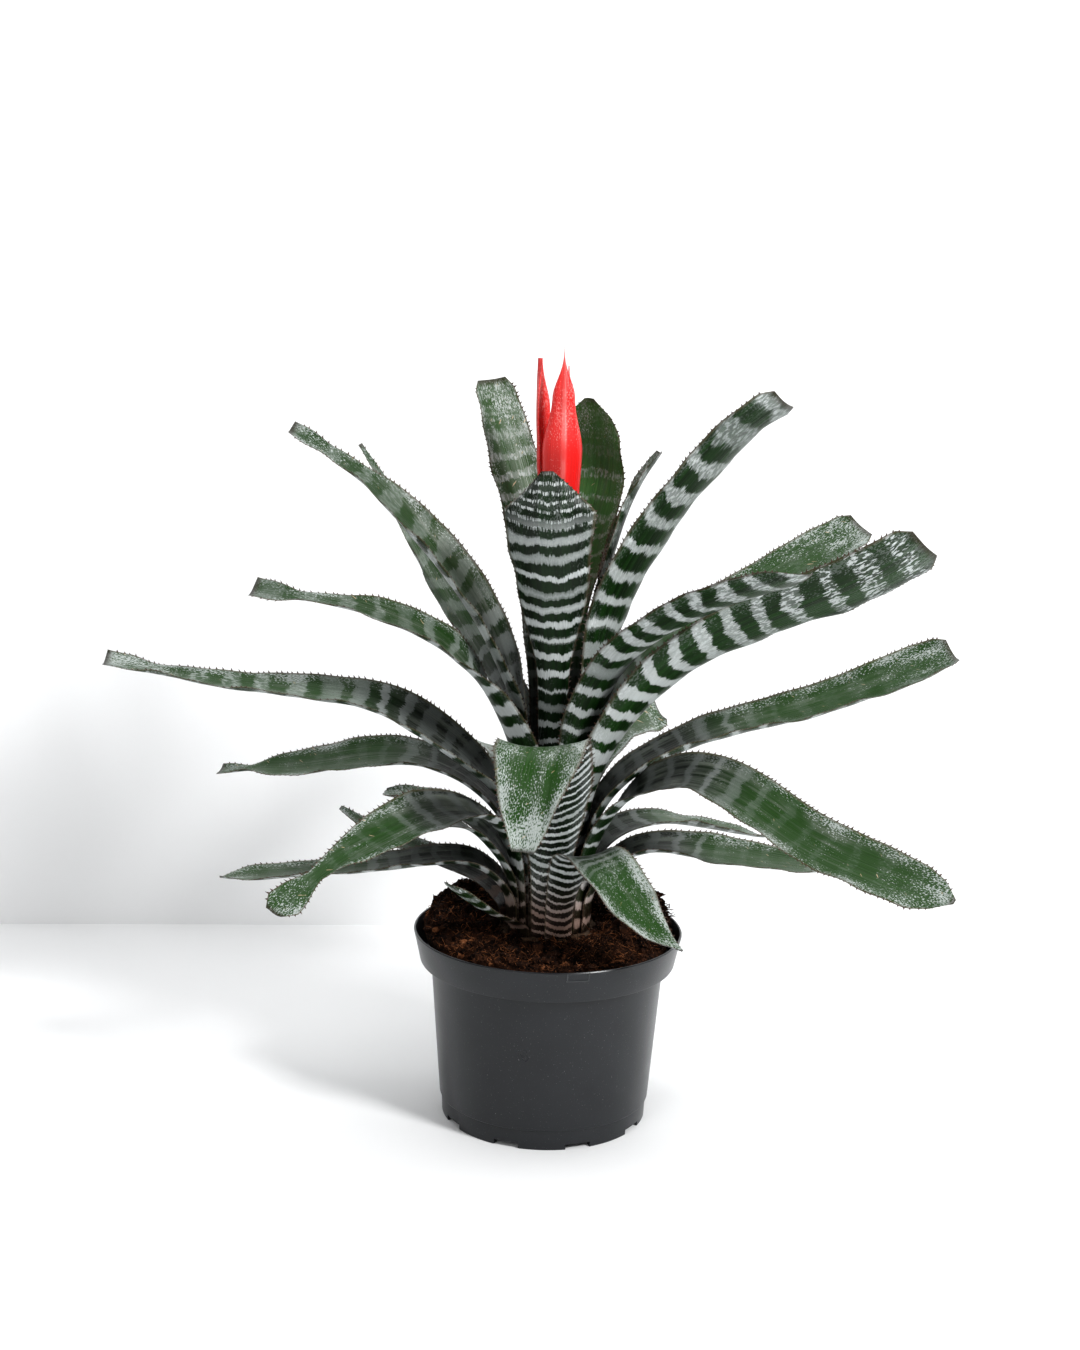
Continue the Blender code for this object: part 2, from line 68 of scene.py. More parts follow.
camera_data = bpy.data.cameras.new("product_camera")
camera_data.lens = LENS_MM
camera_data.sensor_width = SENSOR_MM
camera = bpy.data.objects.new("product_camera", camera_data)
bpy.context.scene.collection.objects.link(camera)
camera.matrix_world = (Matrix.Translation(CAMERA_PLACE)
                       @ Matrix.Rotation(CAMERA_PAN, 4, "Z")
                       @ Matrix.Rotation(math.radians(90.0) - CAMERA_DOWN, 4, "X")
                       @ Matrix.Rotation(CAMERA_ROLL, 4, "Z"))
bpy.context.scene.camera = camera
bpy.context.scene.view_settings.view_transform = "Standard"
bpy.context.scene.view_settings.look = "Medium High Contrast"
print("camera at", tuple(round(v, 3) for v in camera.location))

# %% [markdown]
# ## Helpers for pieces and node trees
# Each finished piece does the same four things: it takes its materials, joins the scene,
# rides on the plant's one body, and hides the CAD node it stands for. Node trees get short
# helpers too, so that a material reads as a recipe.


# %% Piece and node helpers
def finish_piece(name, data, materials, slot, *nodes):
    """Make a piece of a mesh or curve, let it ride on the plant and stand for its CAD nodes."""
    for material in materials:
        data.materials.append(material)
    piece = bpy.data.objects.new(name, data)
    bpy.context.scene.collection.objects.link(piece)
    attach(piece, "root")
    if nodes:
        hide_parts(*nodes)


def form_mesh(name, form):
    """Turn a bmesh into a mesh and free it."""
    mesh = bpy.data.meshes.new(name)
    form.to_mesh(mesh)
    form.free()
    return mesh


def rgb(*values):
    return (*values, 1.0)


class Tree:
    """A thin wrapper that adds nodes and links to a node tree."""

    def __init__(self, tree):
        self.tree = tree

    def add(self, kind, **settings):
        node = self.tree.nodes.new("ShaderNode" + kind)
        for key, value in settings.items():
            setattr(node, key, value)
        return node

    def link(self, output, target):
        self.tree.links.new(output, target)

    def feed(self, target, value):
        """Link a socket, or set a constant, on a target socket."""
        if isinstance(value, bpy.types.NodeSocket):
            self.tree.links.new(value, target)
        else:
            target.default_value = value

    def math(self, operation, a, b=0.0):
        node = self.add("Math", operation=operation)
        for socket, value in zip(node.inputs, (a, b)):
            self.feed(socket, value)
        return node.outputs[0]

    def plus(self, a, b):
        return self.math("ADD", a, b)

    def minus(self, a, b):
        return self.math("SUBTRACT", a, b)

    def times(self, first, *others):
        """Product of two or more values."""
        for other in others:
            first = self.math("MULTIPLY", first, other)
        return first

    def ramp(self, value, low, high, to_low=0.0, to_high=1.0):
        """Smooth step of a value from one range to another."""
        node = self.add("MapRange", interpolation_type="SMOOTHSTEP")
        for name, item in (("Value", value), ("From Min", low), ("From Max", high),
                           ("To Min", to_low), ("To Max", to_high)):
            self.feed(node.inputs[name], item)
        return node.outputs["Result"]

    def mix(self, share, a, b):
        """Mix two colours."""
        node = self.add("Mix", data_type="RGBA")
        self.feed(node.inputs["Factor"], share)
        self.feed(node.inputs["A"], a)
        self.feed(node.inputs["B"], b)
        return node.outputs["Result"]

    def vector(self, x, y, z):
        node = self.add("CombineXYZ")
        for socket, value in zip(node.inputs, (x, y, z)):
            self.feed(socket, value)
        return node.outputs[0]

    def noise(self, vector, scale=1.0, detail=2.0, roughness=0.5):
        node = self.add("TexNoise")
        for name, item in (("Vector", vector), ("Scale", scale), ("Detail", detail),
                           ("Roughness", roughness)):
            self.feed(node.inputs[name], item)
        return node.outputs["Fac"]

    def bump(self, height, shader, strength, distance):
        """Raise the surface by a value."""
        node = self.add("Bump")
        node.inputs["Strength"].default_value = strength
        node.inputs["Distance"].default_value = distance
        self.link(height, node.inputs["Height"])
        self.link(node.outputs["Normal"], shader.inputs["Normal"])


def new_group(name, inputs, outputs):
    """Shader node group of plain numbers; returns it, its tree and the sockets to use."""
    group = bpy.data.node_groups.new(name, "ShaderNodeTree")
    for label, value in inputs.items():
        socket = group.interface.new_socket(label, in_out="INPUT",
                                            socket_type="NodeSocketFloat")
        socket.default_value = value
    for label in outputs:
        group.interface.new_socket(label, in_out="OUTPUT", socket_type="NodeSocketFloat")
    ends = [group.nodes.new("NodeGroup" + side) for side in ("Input", "Output")]
    return group, Tree(group), ends[0].outputs, ends[1].inputs


def use_group(tree, group, **values):
    """Place a node group in a material and feed its inputs."""
    node = tree.add("Group")
    node.node_tree = group
    for name, value in values.items():
        tree.feed(node.inputs[name], value)
    return node.outputs


def new_material(name):
    """A material with an empty Principled BSDF; returns it, its tree and the shader."""
    material = bpy.data.materials.new(name)
    material.use_nodes = True
    tree = Tree(material.node_tree)
    return material, tree, material.node_tree.nodes["Principled BSDF"]


# %% [markdown]
# ## Effects that several finishes share
# The leaf's pattern has three layers. Silver cross-bands are rows of tiny scales that sag
# in the middle of the blade and end in a torn fringe, because the scales follow the fibres.
# Loose scurf is the same scales, scattered. Veins run lengthwise. All three need to know
# where on the blade they are, so each leaf mesh stores its own distances: across and along
# the blade in metres.

# %% Group: zebra bands
ON_BLADE = dict(Across=0.0, Along=0.0, Seed=0.0)
STRAND = 0.0015
bands, t, g, gout = new_group(
    "zebra bands",
    dict(ON_BLADE, Period=0.012, Grow=0.5, Sag=6.0, Fringe=0.004, Fill=0.45, Split=0.0,
         Break=0.0),
    ("Mask", "Luck"))


def place_noise(tree, sockets, across, along, shift, detail, roughness=0.5, lane=None):
    """Noise stretched along the fibres: how many lumps per metre across and along."""
    lane = sockets["Across"] if lane is None else lane
    where = tree.vector(tree.times(lane, across),
                        tree.times(sockets["Along"], along),
                        tree.plus(sockets["Seed"], shift))
    return tree.noise(where, detail=detail, roughness=roughness)


def centred(tree, value, size):
    """A noise value shifted to lie around zero and given a size."""
    return tree.times(tree.minus(value, 0.5), size)


# bands sit further apart towards the tip, and each strand of fibres carries its own step
wobble = place_noise(t, g, 20.0, 30.0, 4.0, 0.0)
lane = t.math("SNAP", t.plus(g["Across"], centred(t, wobble, 0.004)), STRAND)
swell = place_noise(t, g, 34.0, 22.0, 0.0, 1.0)
steps = place_noise(t, g, 150.0, 60.0, 8.0, 1.0, 0.6, lane)
torn = place_noise(t, g, 1300.0, 90.0, 2.0, 3.0, 0.6)
line = t.minus(g["Along"], t.times(g["Along"], g["Along"], g["Grow"]))
for offset in (t.times(g["Across"], g["Across"], g["Sag"]), centred(t, swell, 0.0095),
               centred(t, steps, t.times(g["Period"], 0.50)), centred(t, torn, g["Fringe"])):
    line = t.plus(line, offset)
turns = t.math("DIVIDE", line, g["Period"])
ridge = t.times(t.math("PINGPONG", turns, 0.5), 2.0)
# each band draws its own width and tone
draw = t.add("TexWhiteNoise", noise_dimensions="2D")
t.feed(draw.inputs["Vector"], t.vector(t.math("FLOOR", turns), g["Seed"], 0.0))
edge = t.minus(1.0, t.plus(g["Fill"], centred(t, draw.outputs["Value"], 0.36)))
solid = t.ramp(ridge, t.minus(edge, 0.05), t.plus(edge, 0.05))
# near some tips the bands thin out into broken lines
comb = t.times(t.math("PINGPONG", t.times(turns, 2.0), 0.5), 2.0)
thin = t.times(t.ramp(comb, 0.58, 0.74), t.ramp(torn, 0.46, 0.55))
solid = t.plus(t.times(solid, t.minus(1.0, g["Split"])), t.times(thin, g["Split"]))
holes = t.ramp(place_noise(t, g, 700.0, 230.0, 5.0, 2.0, 0.6), 0.42, 0.52)
solid = t.times(solid, t.minus(1.0, t.times(holes, g["Break"])))
t.link(solid, gout["Mask"])
t.link(draw.outputs["Value"], gout["Luck"])
print("group:", bands.name)

# %% Group: scattered scurf
scurf, t, g, gout = new_group("silver scurf", dict(ON_BLADE, Amount=0.3),
                              ("Speckle", "Film"))
fine = place_noise(t, g, 1500.0, 650.0, 0.0, 2.0, 0.6)
cloud = place_noise(t, g, 110.0, 40.0, 3.0, 3.0)
level = t.plus(t.times(cloud, 0.5), t.times(g["Amount"], 0.6))
t.link(t.ramp(t.plus(fine, level), 0.95, 1.04), gout["Speckle"])
t.link(t.ramp(cloud, 0.3, 0.75), gout["Film"])
print("group:", scurf.name)

# %% Group: lengthwise veins
veins, t, g, gout = new_group("lengthwise veins", ON_BLADE, ("Vein", "Streak"))
t.link(place_noise(t, g, 1400.0, 9.0, 0.0, 1.0), gout["Vein"])
t.link(t.ramp(place_noise(t, g, 300.0, 6.0, 11.0, 3.0, 0.6), 0.35, 0.68), gout["Streak"])
print("group:", veins.name)

# %% Group: mottle, for peat, bark and plastic
mottle, t, g, gout = new_group("mottle", dict(Coarse=60.0, Fine=900.0), ("Patch", "Grain"))
place = t.add("TexCoord").outputs["Object"]
for label, detail, target in (("Coarse", 3.0, "Patch"), ("Fine", 4.0, "Grain")):
    t.link(t.noise(place, g[label], detail), gout[target])
print("group:", mottle.name)

# %% [markdown]
# ## Leaf finish
# The outer side of each blade is nearly black green under bold bands. The inner side is a
# fresher green with more loose scurf and weak bands, and its gutter near the base is darkened
# as painted shade. One recipe makes both: the mesh says which side a point is on. Bands
# scatter light, so they are rougher than the waxy green.


# %% Leaf material recipe
def blade_places(t):
    """Sockets of the blade's own coordinates: across, along, seed, share, inner, margin."""
    sockets = []
    for layer in ("blade", "blade_extra"):
        split = t.add("SeparateXYZ")
        t.link(t.add("Attribute", attribute_name=layer).outputs["Vector"], split.inputs[0])
        sockets += list(split.outputs)
    return sockets


def leaf_material(name, period, grow, sag, fill, fringe, split, breaks, inner_bands,
                  speckle, outer_green, inner_green):
    """Both sides of a blade: banded dark outer side, greener inner side."""
    material, t, shader = new_material(name)
    across, along, seed, share, inner, margin = blade_places(t)
    where = dict(Across=across, Along=along, Seed=seed)
    # near: the lower part of the blade, where the inner side has stronger bands and painted shade
    near = t.ramp(share, 0.62, 0.42)
    late = t.ramp(share, 0.84, 0.93)
    stripe = use_group(t, bands, **where, Period=period, Grow=grow, Sag=sag, Fringe=fringe,
                       Fill=fill, Split=t.times(late, split),
                       Break=t.times(t.ramp(share, 0.45, 0.9), breaks))
    rim = t.ramp(margin, 0.45, 0.97)
    end = t.ramp(share, 0.80, 1.0)
    speck = use_group(t, scurf, **where,
                      Amount=t.plus(t.times(t.math("MAXIMUM", rim, end), 0.30), speckle))
    vein = use_group(t, veins, **where)
    # outer side: dark waxy green
    dark = t.mix(vein["Streak"], rgb(*[0.40 * v for v in outer_green]), rgb(*outer_green))
    # inner side: painted shade in the gutter near the base, then fresh green with pale streaks
    fresh = t.mix(vein["Vein"], rgb(*[0.45 * v for v in inner_green]), rgb(*inner_green))
    painted_gutter_shade = t.mix(vein["Streak"], rgb(0.008, 0.010, 0.008), rgb(0.046, 0.052, 0.046))
    # pale grey along the streaks: partly the scurf's film, partly a painted sheen
    film_and_painted_sheen = t.times(vein["Streak"], speck["Film"], t.ramp(share, 1.0, 0.60, 0.25, 0.75))
    top = t.mix(film_and_painted_sheen, t.mix(near, fresh, painted_gutter_shade), rgb(0.15, 0.17, 0.14))
    blade = t.mix(inner, dark, top)
    # silver of the bands: streaked, duller on a few of them, painted shade in the gutter
    bright = t.mix(vein["Vein"], rgb(0.46, 0.49, 0.49), rgb(0.76, 0.80, 0.80))
    bright = t.mix(t.ramp(stripe["Luck"], 0.75, 1.0), bright, rgb(0.32, 0.35, 0.34))
    silver = t.mix(t.times(inner, near), bright, rgb(0.095, 0.105, 0.10))
    # how much scale covers the green
    worn = t.ramp(speck["Speckle"], 0.0, 1.0, 0.80, 1.0)
    seen = t.plus(t.minus(1.0, inner),
                  t.times(inner, t.plus(t.times(near, 0.85), inner_bands)))
    cover = t.times(stripe["Mask"], worn, t.math("MINIMUM", seen, 1.0))
    loose = t.times(speck["Speckle"], t.plus(0.14, t.times(inner, 0.46)))
    cover = t.math("MAXIMUM", cover, loose)
    color = t.mix(cover, blade, silver)
    # pale tan scratches where the leaf was rubbed
    slant = t.times(t.plus(across, t.times(along, 0.6)), 110.0)
    place = t.vector(slant, t.times(t.minus(along, across), 650.0), seed)
    rubbed = t.times(t.ramp(t.noise(place, detail=1.0), 0.74, 0.79),
                     t.times(inner, t.ramp(share, 0.55, 0.7)))
    color = t.mix(rubbed, color, rgb(0.50, 0.38, 0.24))
    # the foot of each sheath, a hem along the margins and the very tip dry brown
    dry_color = t.mix(cover, rgb(0.020, 0.010, 0.007), rgb(0.36, 0.22, 0.17))
    hem_color = t.mix(vein["Streak"], rgb(0.12, 0.11, 0.06), rgb(0.06, 0.028, 0.016))
    for amount, level, brown in (
            (t.ramp(along, 0.050, 0.006), 0.85, dry_color),
            (t.ramp(margin, 0.90, 0.98), 0.6, hem_color),
            (t.ramp(share, 0.985, 1.0), 0.8, rgb(0.030, 0.020, 0.012))):
        color = t.mix(t.times(amount, level), color, brown)
    t.link(color, shader.inputs["Base Color"])
    t.link(t.plus(0.34, t.times(cover, 0.28)), shader.inputs["Roughness"])
    t.bump(t.plus(t.times(vein["Vein"], 0.9), t.times(cover, 0.3)), shader, 0.7, 0.0005)
    shader.inputs["Specular IOR Level"].default_value = 0.26
    return material


# Each finish: band period, its growth and sag, fill and fringe; split and broken bands; band
# strength on the inner side; loose scurf; the green of the outer and of the inner side.
LEAF_FINISHES = {name: leaf_material("leaf_" + name, *numbers) for name, numbers in {
    # bold, solid bands on the tall inner leaves
    "bold": (0.0112, 0.85, -3.0, 0.46, 0.0045, 0.0, 0.60, 0.25, 0.02,
             (0.010, 0.040, 0.006), (0.017, 0.058, 0.008)),
    # solid bands that turn into many thin lines near the tip
    "fine": (0.0105, 0.10, -4.0, 0.34, 0.0050, 0.95, 0.1, 0.25, 0.02,
             (0.006, 0.022, 0.005), (0.016, 0.050, 0.008)),
    # thin sagging lines all over the outer side of the folded front leaves
    "lined": (0.0056, 0.0, -20.0, 0.38, 0.0034, 0.0, 0.45, 0.0, 0.20,
              (0.005, 0.015, 0.004), (0.022, 0.080, 0.009)),
    # broken, checkered bands on the arching leaves
    "checker": (0.0125, 0.75, -2.0, 0.48, 0.0050, 0.0, 0.95, 0.45, 0.08,
                (0.012, 0.046, 0.007), (0.019, 0.066, 0.009)),
    # greener lower leaves with weak bands
    "green": (0.0125, 0.60, -3.0, 0.38, 0.0050, 0.0, 0.8, 0.06, 0.05,
              (0.010, 0.036, 0.006), (0.020, 0.072, 0.008)),
    # upright leaf at the back, thin pale bands over green
    "frosted": (0.0115, 0.20, -3.0, 0.30, 0.0042, 0.6, 0.7, 0.75, 0.04,
                (0.012, 0.045, 0.008), (0.040, 0.095, 0.026)),
    # much the same, painted paler: painted light on the leaf that stands in the bracts' shade
    "frosted_painted_light": (0.0115, 0.20, -3.0, 0.30, 0.0042, 0.6, 0.9, 0.55, -0.08,
               (0.060, 0.150, 0.050), (0.095, 0.240, 0.070)),
}.items()}
print("leaf finishes:", ", ".join(LEAF_FINISHES))

# %% Spine material: short dark hooks along the leaf margins
spine_material, t, shader = new_material("leaf_spines")
tone = use_group(t, mottle, Coarse=400.0, Fine=2500.0)
t.link(t.mix(tone["Patch"], rgb(0.020, 0.010, 0.006), rgb(0.075, 0.035, 0.018)),
       shader.inputs["Base Color"])
shader.inputs["Roughness"].default_value = 0.5

# %% [markdown]
# ## Leaves
# A bromeliad leaf is a strap rolled into a gutter. Its sheath hugs the leaves inside it, and
# the blade opens and arches away. So a leaf is a loft: a smooth way for its middle, and at
# each step a circular arc across it. Each leaf is listed one by one, because no two arch alike.
# The frame's leaves follow the same list.

# %% The list of leaves
RING_FIRST_R = 8.0
RING_STEP = 2.0
SHEATH_SLOPE = 0.06
LEAF_SPREAD = 85.0
LEAF_BASE_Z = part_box("caudex")[1].z / MM + 0.3

# How a blade ends: marks of (share of the length, share of the full width)
ROUND_TIP = ((0.84, 1), (0.93, 0.83), (0.97, 0.58), (1, 0.12))
BLUNT_TIP = ((0.93, 1), (0.98, 0.88), (1, 0.6))

# Each leaf below: its ring; compass angle at the base and at the tip (degrees, 0 = +X, 90 = back);
# the angle its sheath takes in the ring; the height where it leaves the bundle; its full
# width; the way of its middle from there on, as (distance from the axis, height); and the
# channel angle and the roll at even steps from base to tip. Millimetres and degrees.
# Most leaves share the usual channel, roll, tip and finish, so these are given only once.
USUAL_LEAF = dict(channel=(110, 80, 60, 40), roll=(0, 0, 0, 0), tip=ROUND_TIP, finish="green")


def leaf(**given):
    """One leaf of the list: what is given, and the usual values for the rest."""
    return {**USUAL_LEAF, **given}


LEAVES = {
    "leaf_front_centre": leaf(
        ring=0, turn=(-94, -101), sheath=82, leave=285, width=60,
        path=((23, 312), (34, 350), (44, 388), (41, 414)), channel=(110, 80, 70, 70),
        tip=((0.6, 0.8), (0.8, 0.84), (0.92, 1), (1, 0.12)), finish="fine"),
    # its finish is painted paler: painted light that makes up for the shade it stands in
    "leaf_back_right_upright": leaf(
        ring=0, turn=(76, 58), sheath=105, leave=330, width=49,
        path=((30, 356), (42, 390), (46, 418), (30, 454)), channel=(110, 70, 60, 50),
        finish="frosted_painted_light"),
    "leaf_edge_on_right": leaf(
        ring=1, turn=(-6, 3), sheath=66, leave=290, width=28,
        path=((28, 350), (35, 378), (46, 406), (60, 424)), channel=(110, 110, 110, 60),
        tip=BLUNT_TIP, finish="bold"),
    "leaf_back_left_upright": leaf(
        ring=1, turn=(102, 130), sheath=90, leave=290, width=36,
        path=((29, 335), (39, 370), (51, 405), (71, 463)), channel=(110, 70, 60, 50),
        tip=BLUNT_TIP, finish="frosted"),
    "leaf_upper_right": leaf(
        ring=2, turn=(-2, -12), sheath=70, leave=245, width=46,
        path=((27, 299), (38, 340), (64, 385), (84, 411), (110, 443), (133, 458)),
        channel=(110, 100, 80, 50), roll=(0, -20, -30, -30), tip=BLUNT_TIP, finish="bold"),
    "leaf_upper_left": leaf(
        ring=2, turn=(183, 183), sheath=90, leave=245, width=50,
        path=((36, 308), (56, 342), (103, 395), (146, 424), (163, 433)),
        channel=(110, 110, 100, 50), roll=(0, -12, -22, -30),
        tip=((0.7, 1), (0.79, 0.7), (0.87, 0.38), (0.93, 0.22), (0.97, 0.3), (1, 0.3)),
        finish="bold"),
    "leaf_right_folded": leaf(
        ring=3, turn=(-42, -44), sheath=80, leave=236, width=42,
        path=((38, 286), (58, 312), (122, 349), (190, 370)), channel=(110, 100, 80, 60),
        roll=(0, 0, -10, -10), finish="bold"),
    "leaf_upper_left_back": leaf(
        ring=3, turn=(144, 157), sheath=84, leave=236, width=36,
        path=((36, 272), (61, 301), (86, 337), (121, 392), (139, 420)),
        channel=(110, 100, 80, 40), tip=((0.72, 1), (0.9, 0.4), (1, 0.12)), finish="bold"),
    "leaf_mid_left": leaf(
        ring=4, turn=(214, 199), sheath=90, leave=230, width=40,
        path=((38, 266), (58, 301), (106, 330), (166, 340), (188, 343)),
        channel=(110, 100, 80, 40), roll=(0, -2, -26, -25),
        tip=((0.6, 1), (0.75, 0.75), (0.86, 0.38), (0.92, 0.25), (0.97, 0.6), (1, 0.7)),
        finish="bold"),
    "leaf_right_back_mid": leaf(
        ring=4, turn=(20, 18), sheath=80, leave=225, width=40,
        path=((34, 258), (50, 280), (94, 316), (162, 351), (204, 376)), channel=(110, 90, 60, 40),
        roll=(0, 10, 25, 30), tip=BLUNT_TIP),
    "leaf_right_checker": leaf(
        ring=5, turn=(-20, -20), sheath=85, leave=207, width=50,
        path=((44, 264), (75, 298), (110, 321), (152, 340), (193, 360), (222, 381)),
        channel=(110, 100, 80, 40), roll=(0, -18, -34, -38), tip=BLUNT_TIP, finish="checker"),
    "leaf_back_long": leaf(
        ring=5, turn=(80, 92), sheath=80, leave=205, width=44,
        path=((45, 245), (90, 285), (150, 300), (200, 285))),
    "leaf_long_left": leaf(
        ring=5, turn=(188, 188), sheath=85, leave=193, width=44,
        path=((46, 226), (87, 260), (116, 272), (165, 277), (203, 280), (244, 288), (273, 294)),
        channel=(110, 110, 90, 60), roll=(0, -20, -18, -8),
        tip=((0.45, 1), (0.6, 0.8), (0.8, 0.6), (0.92, 0.44), (0.96, 0.6), (1, 0.6)),
        finish="checker"),
    "leaf_back_right_short": leaf(
        ring=6, turn=(55, 55), sheath=80, leave=195, width=32,
        path=((42, 222), (66, 242), (98, 246), (124, 244)), channel=(110, 80, 60, 50),
        roll=(0, 0, 35, 50), tip=BLUNT_TIP),
    "leaf_low_left_upper": leaf(
        ring=6, turn=(172, 172), sheath=80, leave=184, width=40,
        path=((52, 219), (98, 234), (157, 217), (216, 211)), channel=(110, 90, 60, 40),
        roll=(0, -12, -20, -5), tip=((0.7, 1), (0.85, 0.75), (0.93, 0.3), (0.97, 0.4), (1, 0.4))),
    "leaf_long_right": leaf(
        ring=7, turn=(3, 3), sheath=80, leave=190, width=42,
        path=((45, 224), (94, 253), (153, 264), (215, 289), (248, 304)),
        channel=(110, 100, 90, 90), roll=(0, 5, 18, 20), tip=BLUNT_TIP),
    "leaf_back_left_mid": leaf(
        ring=7, turn=(112, 102), sheath=80, leave=175, width=42,
        path=((50, 204), (92, 218), (145, 210), (180, 193))),
    "leaf_front_left": leaf(
        ring=7, turn=(209, 223), sheath=46, leave=172, width=44,
        path=((42, 198), (62, 208), (90, 210), (115, 204), (143, 198), (178, 187), (209, 173)),
        channel=(110, 90, 60, 40), roll=(0, -10, -30, -30),
        tip=((0.5, 1), (0.65, 0.75), (0.78, 0.4), (0.86, 0.22), (0.92, 0.42),
             (0.97, 0.5), (1, 0.25))),
    "leaf_right_low_big": leaf(
        ring=8, turn=(-25, -30), sheath=50, leave=175, width=38,
        path=((42, 202), (55, 219), (75, 231), (98, 238), (131, 229), (160, 212),
              (191, 202), (262, 187)), channel=(110, 80, 60, 30), roll=(0, 20, 38, 38)),
    "leaf_right_low_back": leaf(
        ring=8, turn=(34, 22), sheath=62, leave=162, width=34,
        path=((40, 177), (72, 187), (100, 183), (155, 169))),
    "leaf_back_left_low": leaf(
        ring=8, turn=(152, 152), sheath=70, leave=156, width=32,
        path=((46, 178), (64, 188), (90, 194), (124, 193))),
    "leaf_front_fold": leaf(
        ring=9, turn=(-88, -98), sheath=52, leave=168, width=54,
        path=((37, 200), (50, 230), (76, 262), (93, 261), (107, 244), (113, 203)),
        channel=(110, 60, 40, 60), tip=((0.75, 1), (0.9, 0.6), (1, 0.25)), finish="lined"),
    "leaf_right_low": leaf(
        ring=9, turn=(-3, -3), sheath=68, leave=150, width=40,
        path=((47, 172), (69, 181), (119, 174), (178, 168)), roll=(0, 0, 10, 0)),
    "leaf_low_left_short": leaf(
        ring=8, turn=(207, 205), sheath=30, leave=158, width=22,
        path=((38, 174), (50, 188), (62, 196), (80, 197)), channel=(90, 80, 60, 40)),
    "leaf_low_left": leaf(
        ring=9, turn=(186, 186), sheath=75, leave=146, width=36,
        path=((42, 162), (60, 169), (107, 163), (206, 155))),
    "leaf_front_right_fold": leaf(
        ring=10, turn=(-76, -50), sheath=36, leave=148, width=40,
        path=((42, 180), (61, 188), (76, 179), (107, 150), (123, 141)), channel=(110, 50, 40, 40),
        tip=((0.6, 1), (0.75, 0.85), (0.88, 0.5), (1, 0.08)), finish="lined"),
    "leaf_back_low": leaf(
        ring=10, turn=(88, 78), sheath=70, leave=150, width=38,
        path=((50, 178), (90, 193), (140, 180), (165, 165))),
    "leaf_low_pup": leaf(
        ring=10, turn=(226, 228), sheath=40, leave=130, width=20,
        path=((54, 142), (71, 155), (89, 169)), channel=(90, 80, 60, 40)),
    "leaf_low_left_back": leaf(
        ring=11, turn=(158, 165), sheath=55, leave=134, width=30,
        path=((46, 149), (76, 157), (121, 172), (142, 186)), channel=(100, 80, 60, 40),
        tip=((0.7, 1), (0.85, 0.6), (1, 0.3))),
}


# %% Curves and keys
def smooth_point(points, share):
    """Point at a share (0 to 1) of a uniform cubic B-spline through the list."""
    spans = len(points) - 1
    place = min(share, 0.999999) * spans
    index = int(place)
    t = place - index
    p1 = points[index]
    p2 = points[index + 1]
    p0 = points[index - 1] if index > 0 else p1 * 2.0 - p2
    p3 = points[index + 2] if index + 2 <= spans else p2 * 2.0 - p1
    return (p0 * (1.0 - t) ** 3 + p1 * (3.0 * t ** 3 - 6.0 * t ** 2 + 4.0)
            + p2 * (3.0 * t + 3.0 * t ** 2 - 3.0 * t ** 3 + 1.0) + p3 * t ** 3) / 6.0


def even_points(points, count):
    """Points at equal distances along the smooth curve, and its length."""
    fine = [smooth_point(points, i / 400.0) for i in range(401)]
    run = [0.0]
    for before, after in zip(fine, fine[1:]):
        run.append(run[-1] + (after - before).length)
    result = []
    index = 0
    for step in range(count):
        goal = run[-1] * step / (count - 1)
        while index < len(fine) - 2 and run[index + 1] < goal:
            index += 1
        part = (goal - run[index]) / max(run[index + 1] - run[index], 1e-9)
        result.append(fine[index].lerp(fine[index + 1], min(1.0, part)))
    return result, run[-1]


def key_value(keys, share):
    """Value at a share (0 to 1) between evenly spaced keys, eased."""
    place = min(share, 0.999999) * (len(keys) - 1)
    index = int(place)
    t = place - index
    t = t * t * (3.0 - 2.0 * t)
    return keys[index] + (keys[index + 1] - keys[index]) * t


def leaf_taper(tip, share):
    """Share of the blade's full width at a share of its length."""
    before = (0.0, 1.0)
    for mark in tip:
        if share <= mark[0]:
            part = (share - before[0]) / (mark[0] - before[0])
            return before[1] + (mark[1] - before[1]) * part
        before = mark
    return before[1]


def ring_radius(ring, height):
    return RING_FIRST_R + RING_STEP * ring + SHEATH_SLOPE * (height - LEAF_BASE_Z)


def leaf_path(spec):
    """Points of the leaf's middle in mm: up the sheath's ring, then out along the blade."""
    steps = max(2, int((spec["leave"] - LEAF_BASE_Z) / 30.0))
    heights = [LEAF_BASE_Z + (spec["leave"] - LEAF_BASE_Z) * i / steps for i in range(steps + 1)]
    flat = [(ring_radius(spec["ring"], z), z) for z in heights] + list(spec["path"])
    start, end = spec["turn"]
    points = []
    for index, (out, up) in enumerate(flat):
        share = max(0.0, (index - steps) / (len(flat) - 1 - steps))
        angle = math.radians(start + (end - start) * share)
        points.append(Vector((out * math.cos(angle), out * math.sin(angle), up)))
    return points


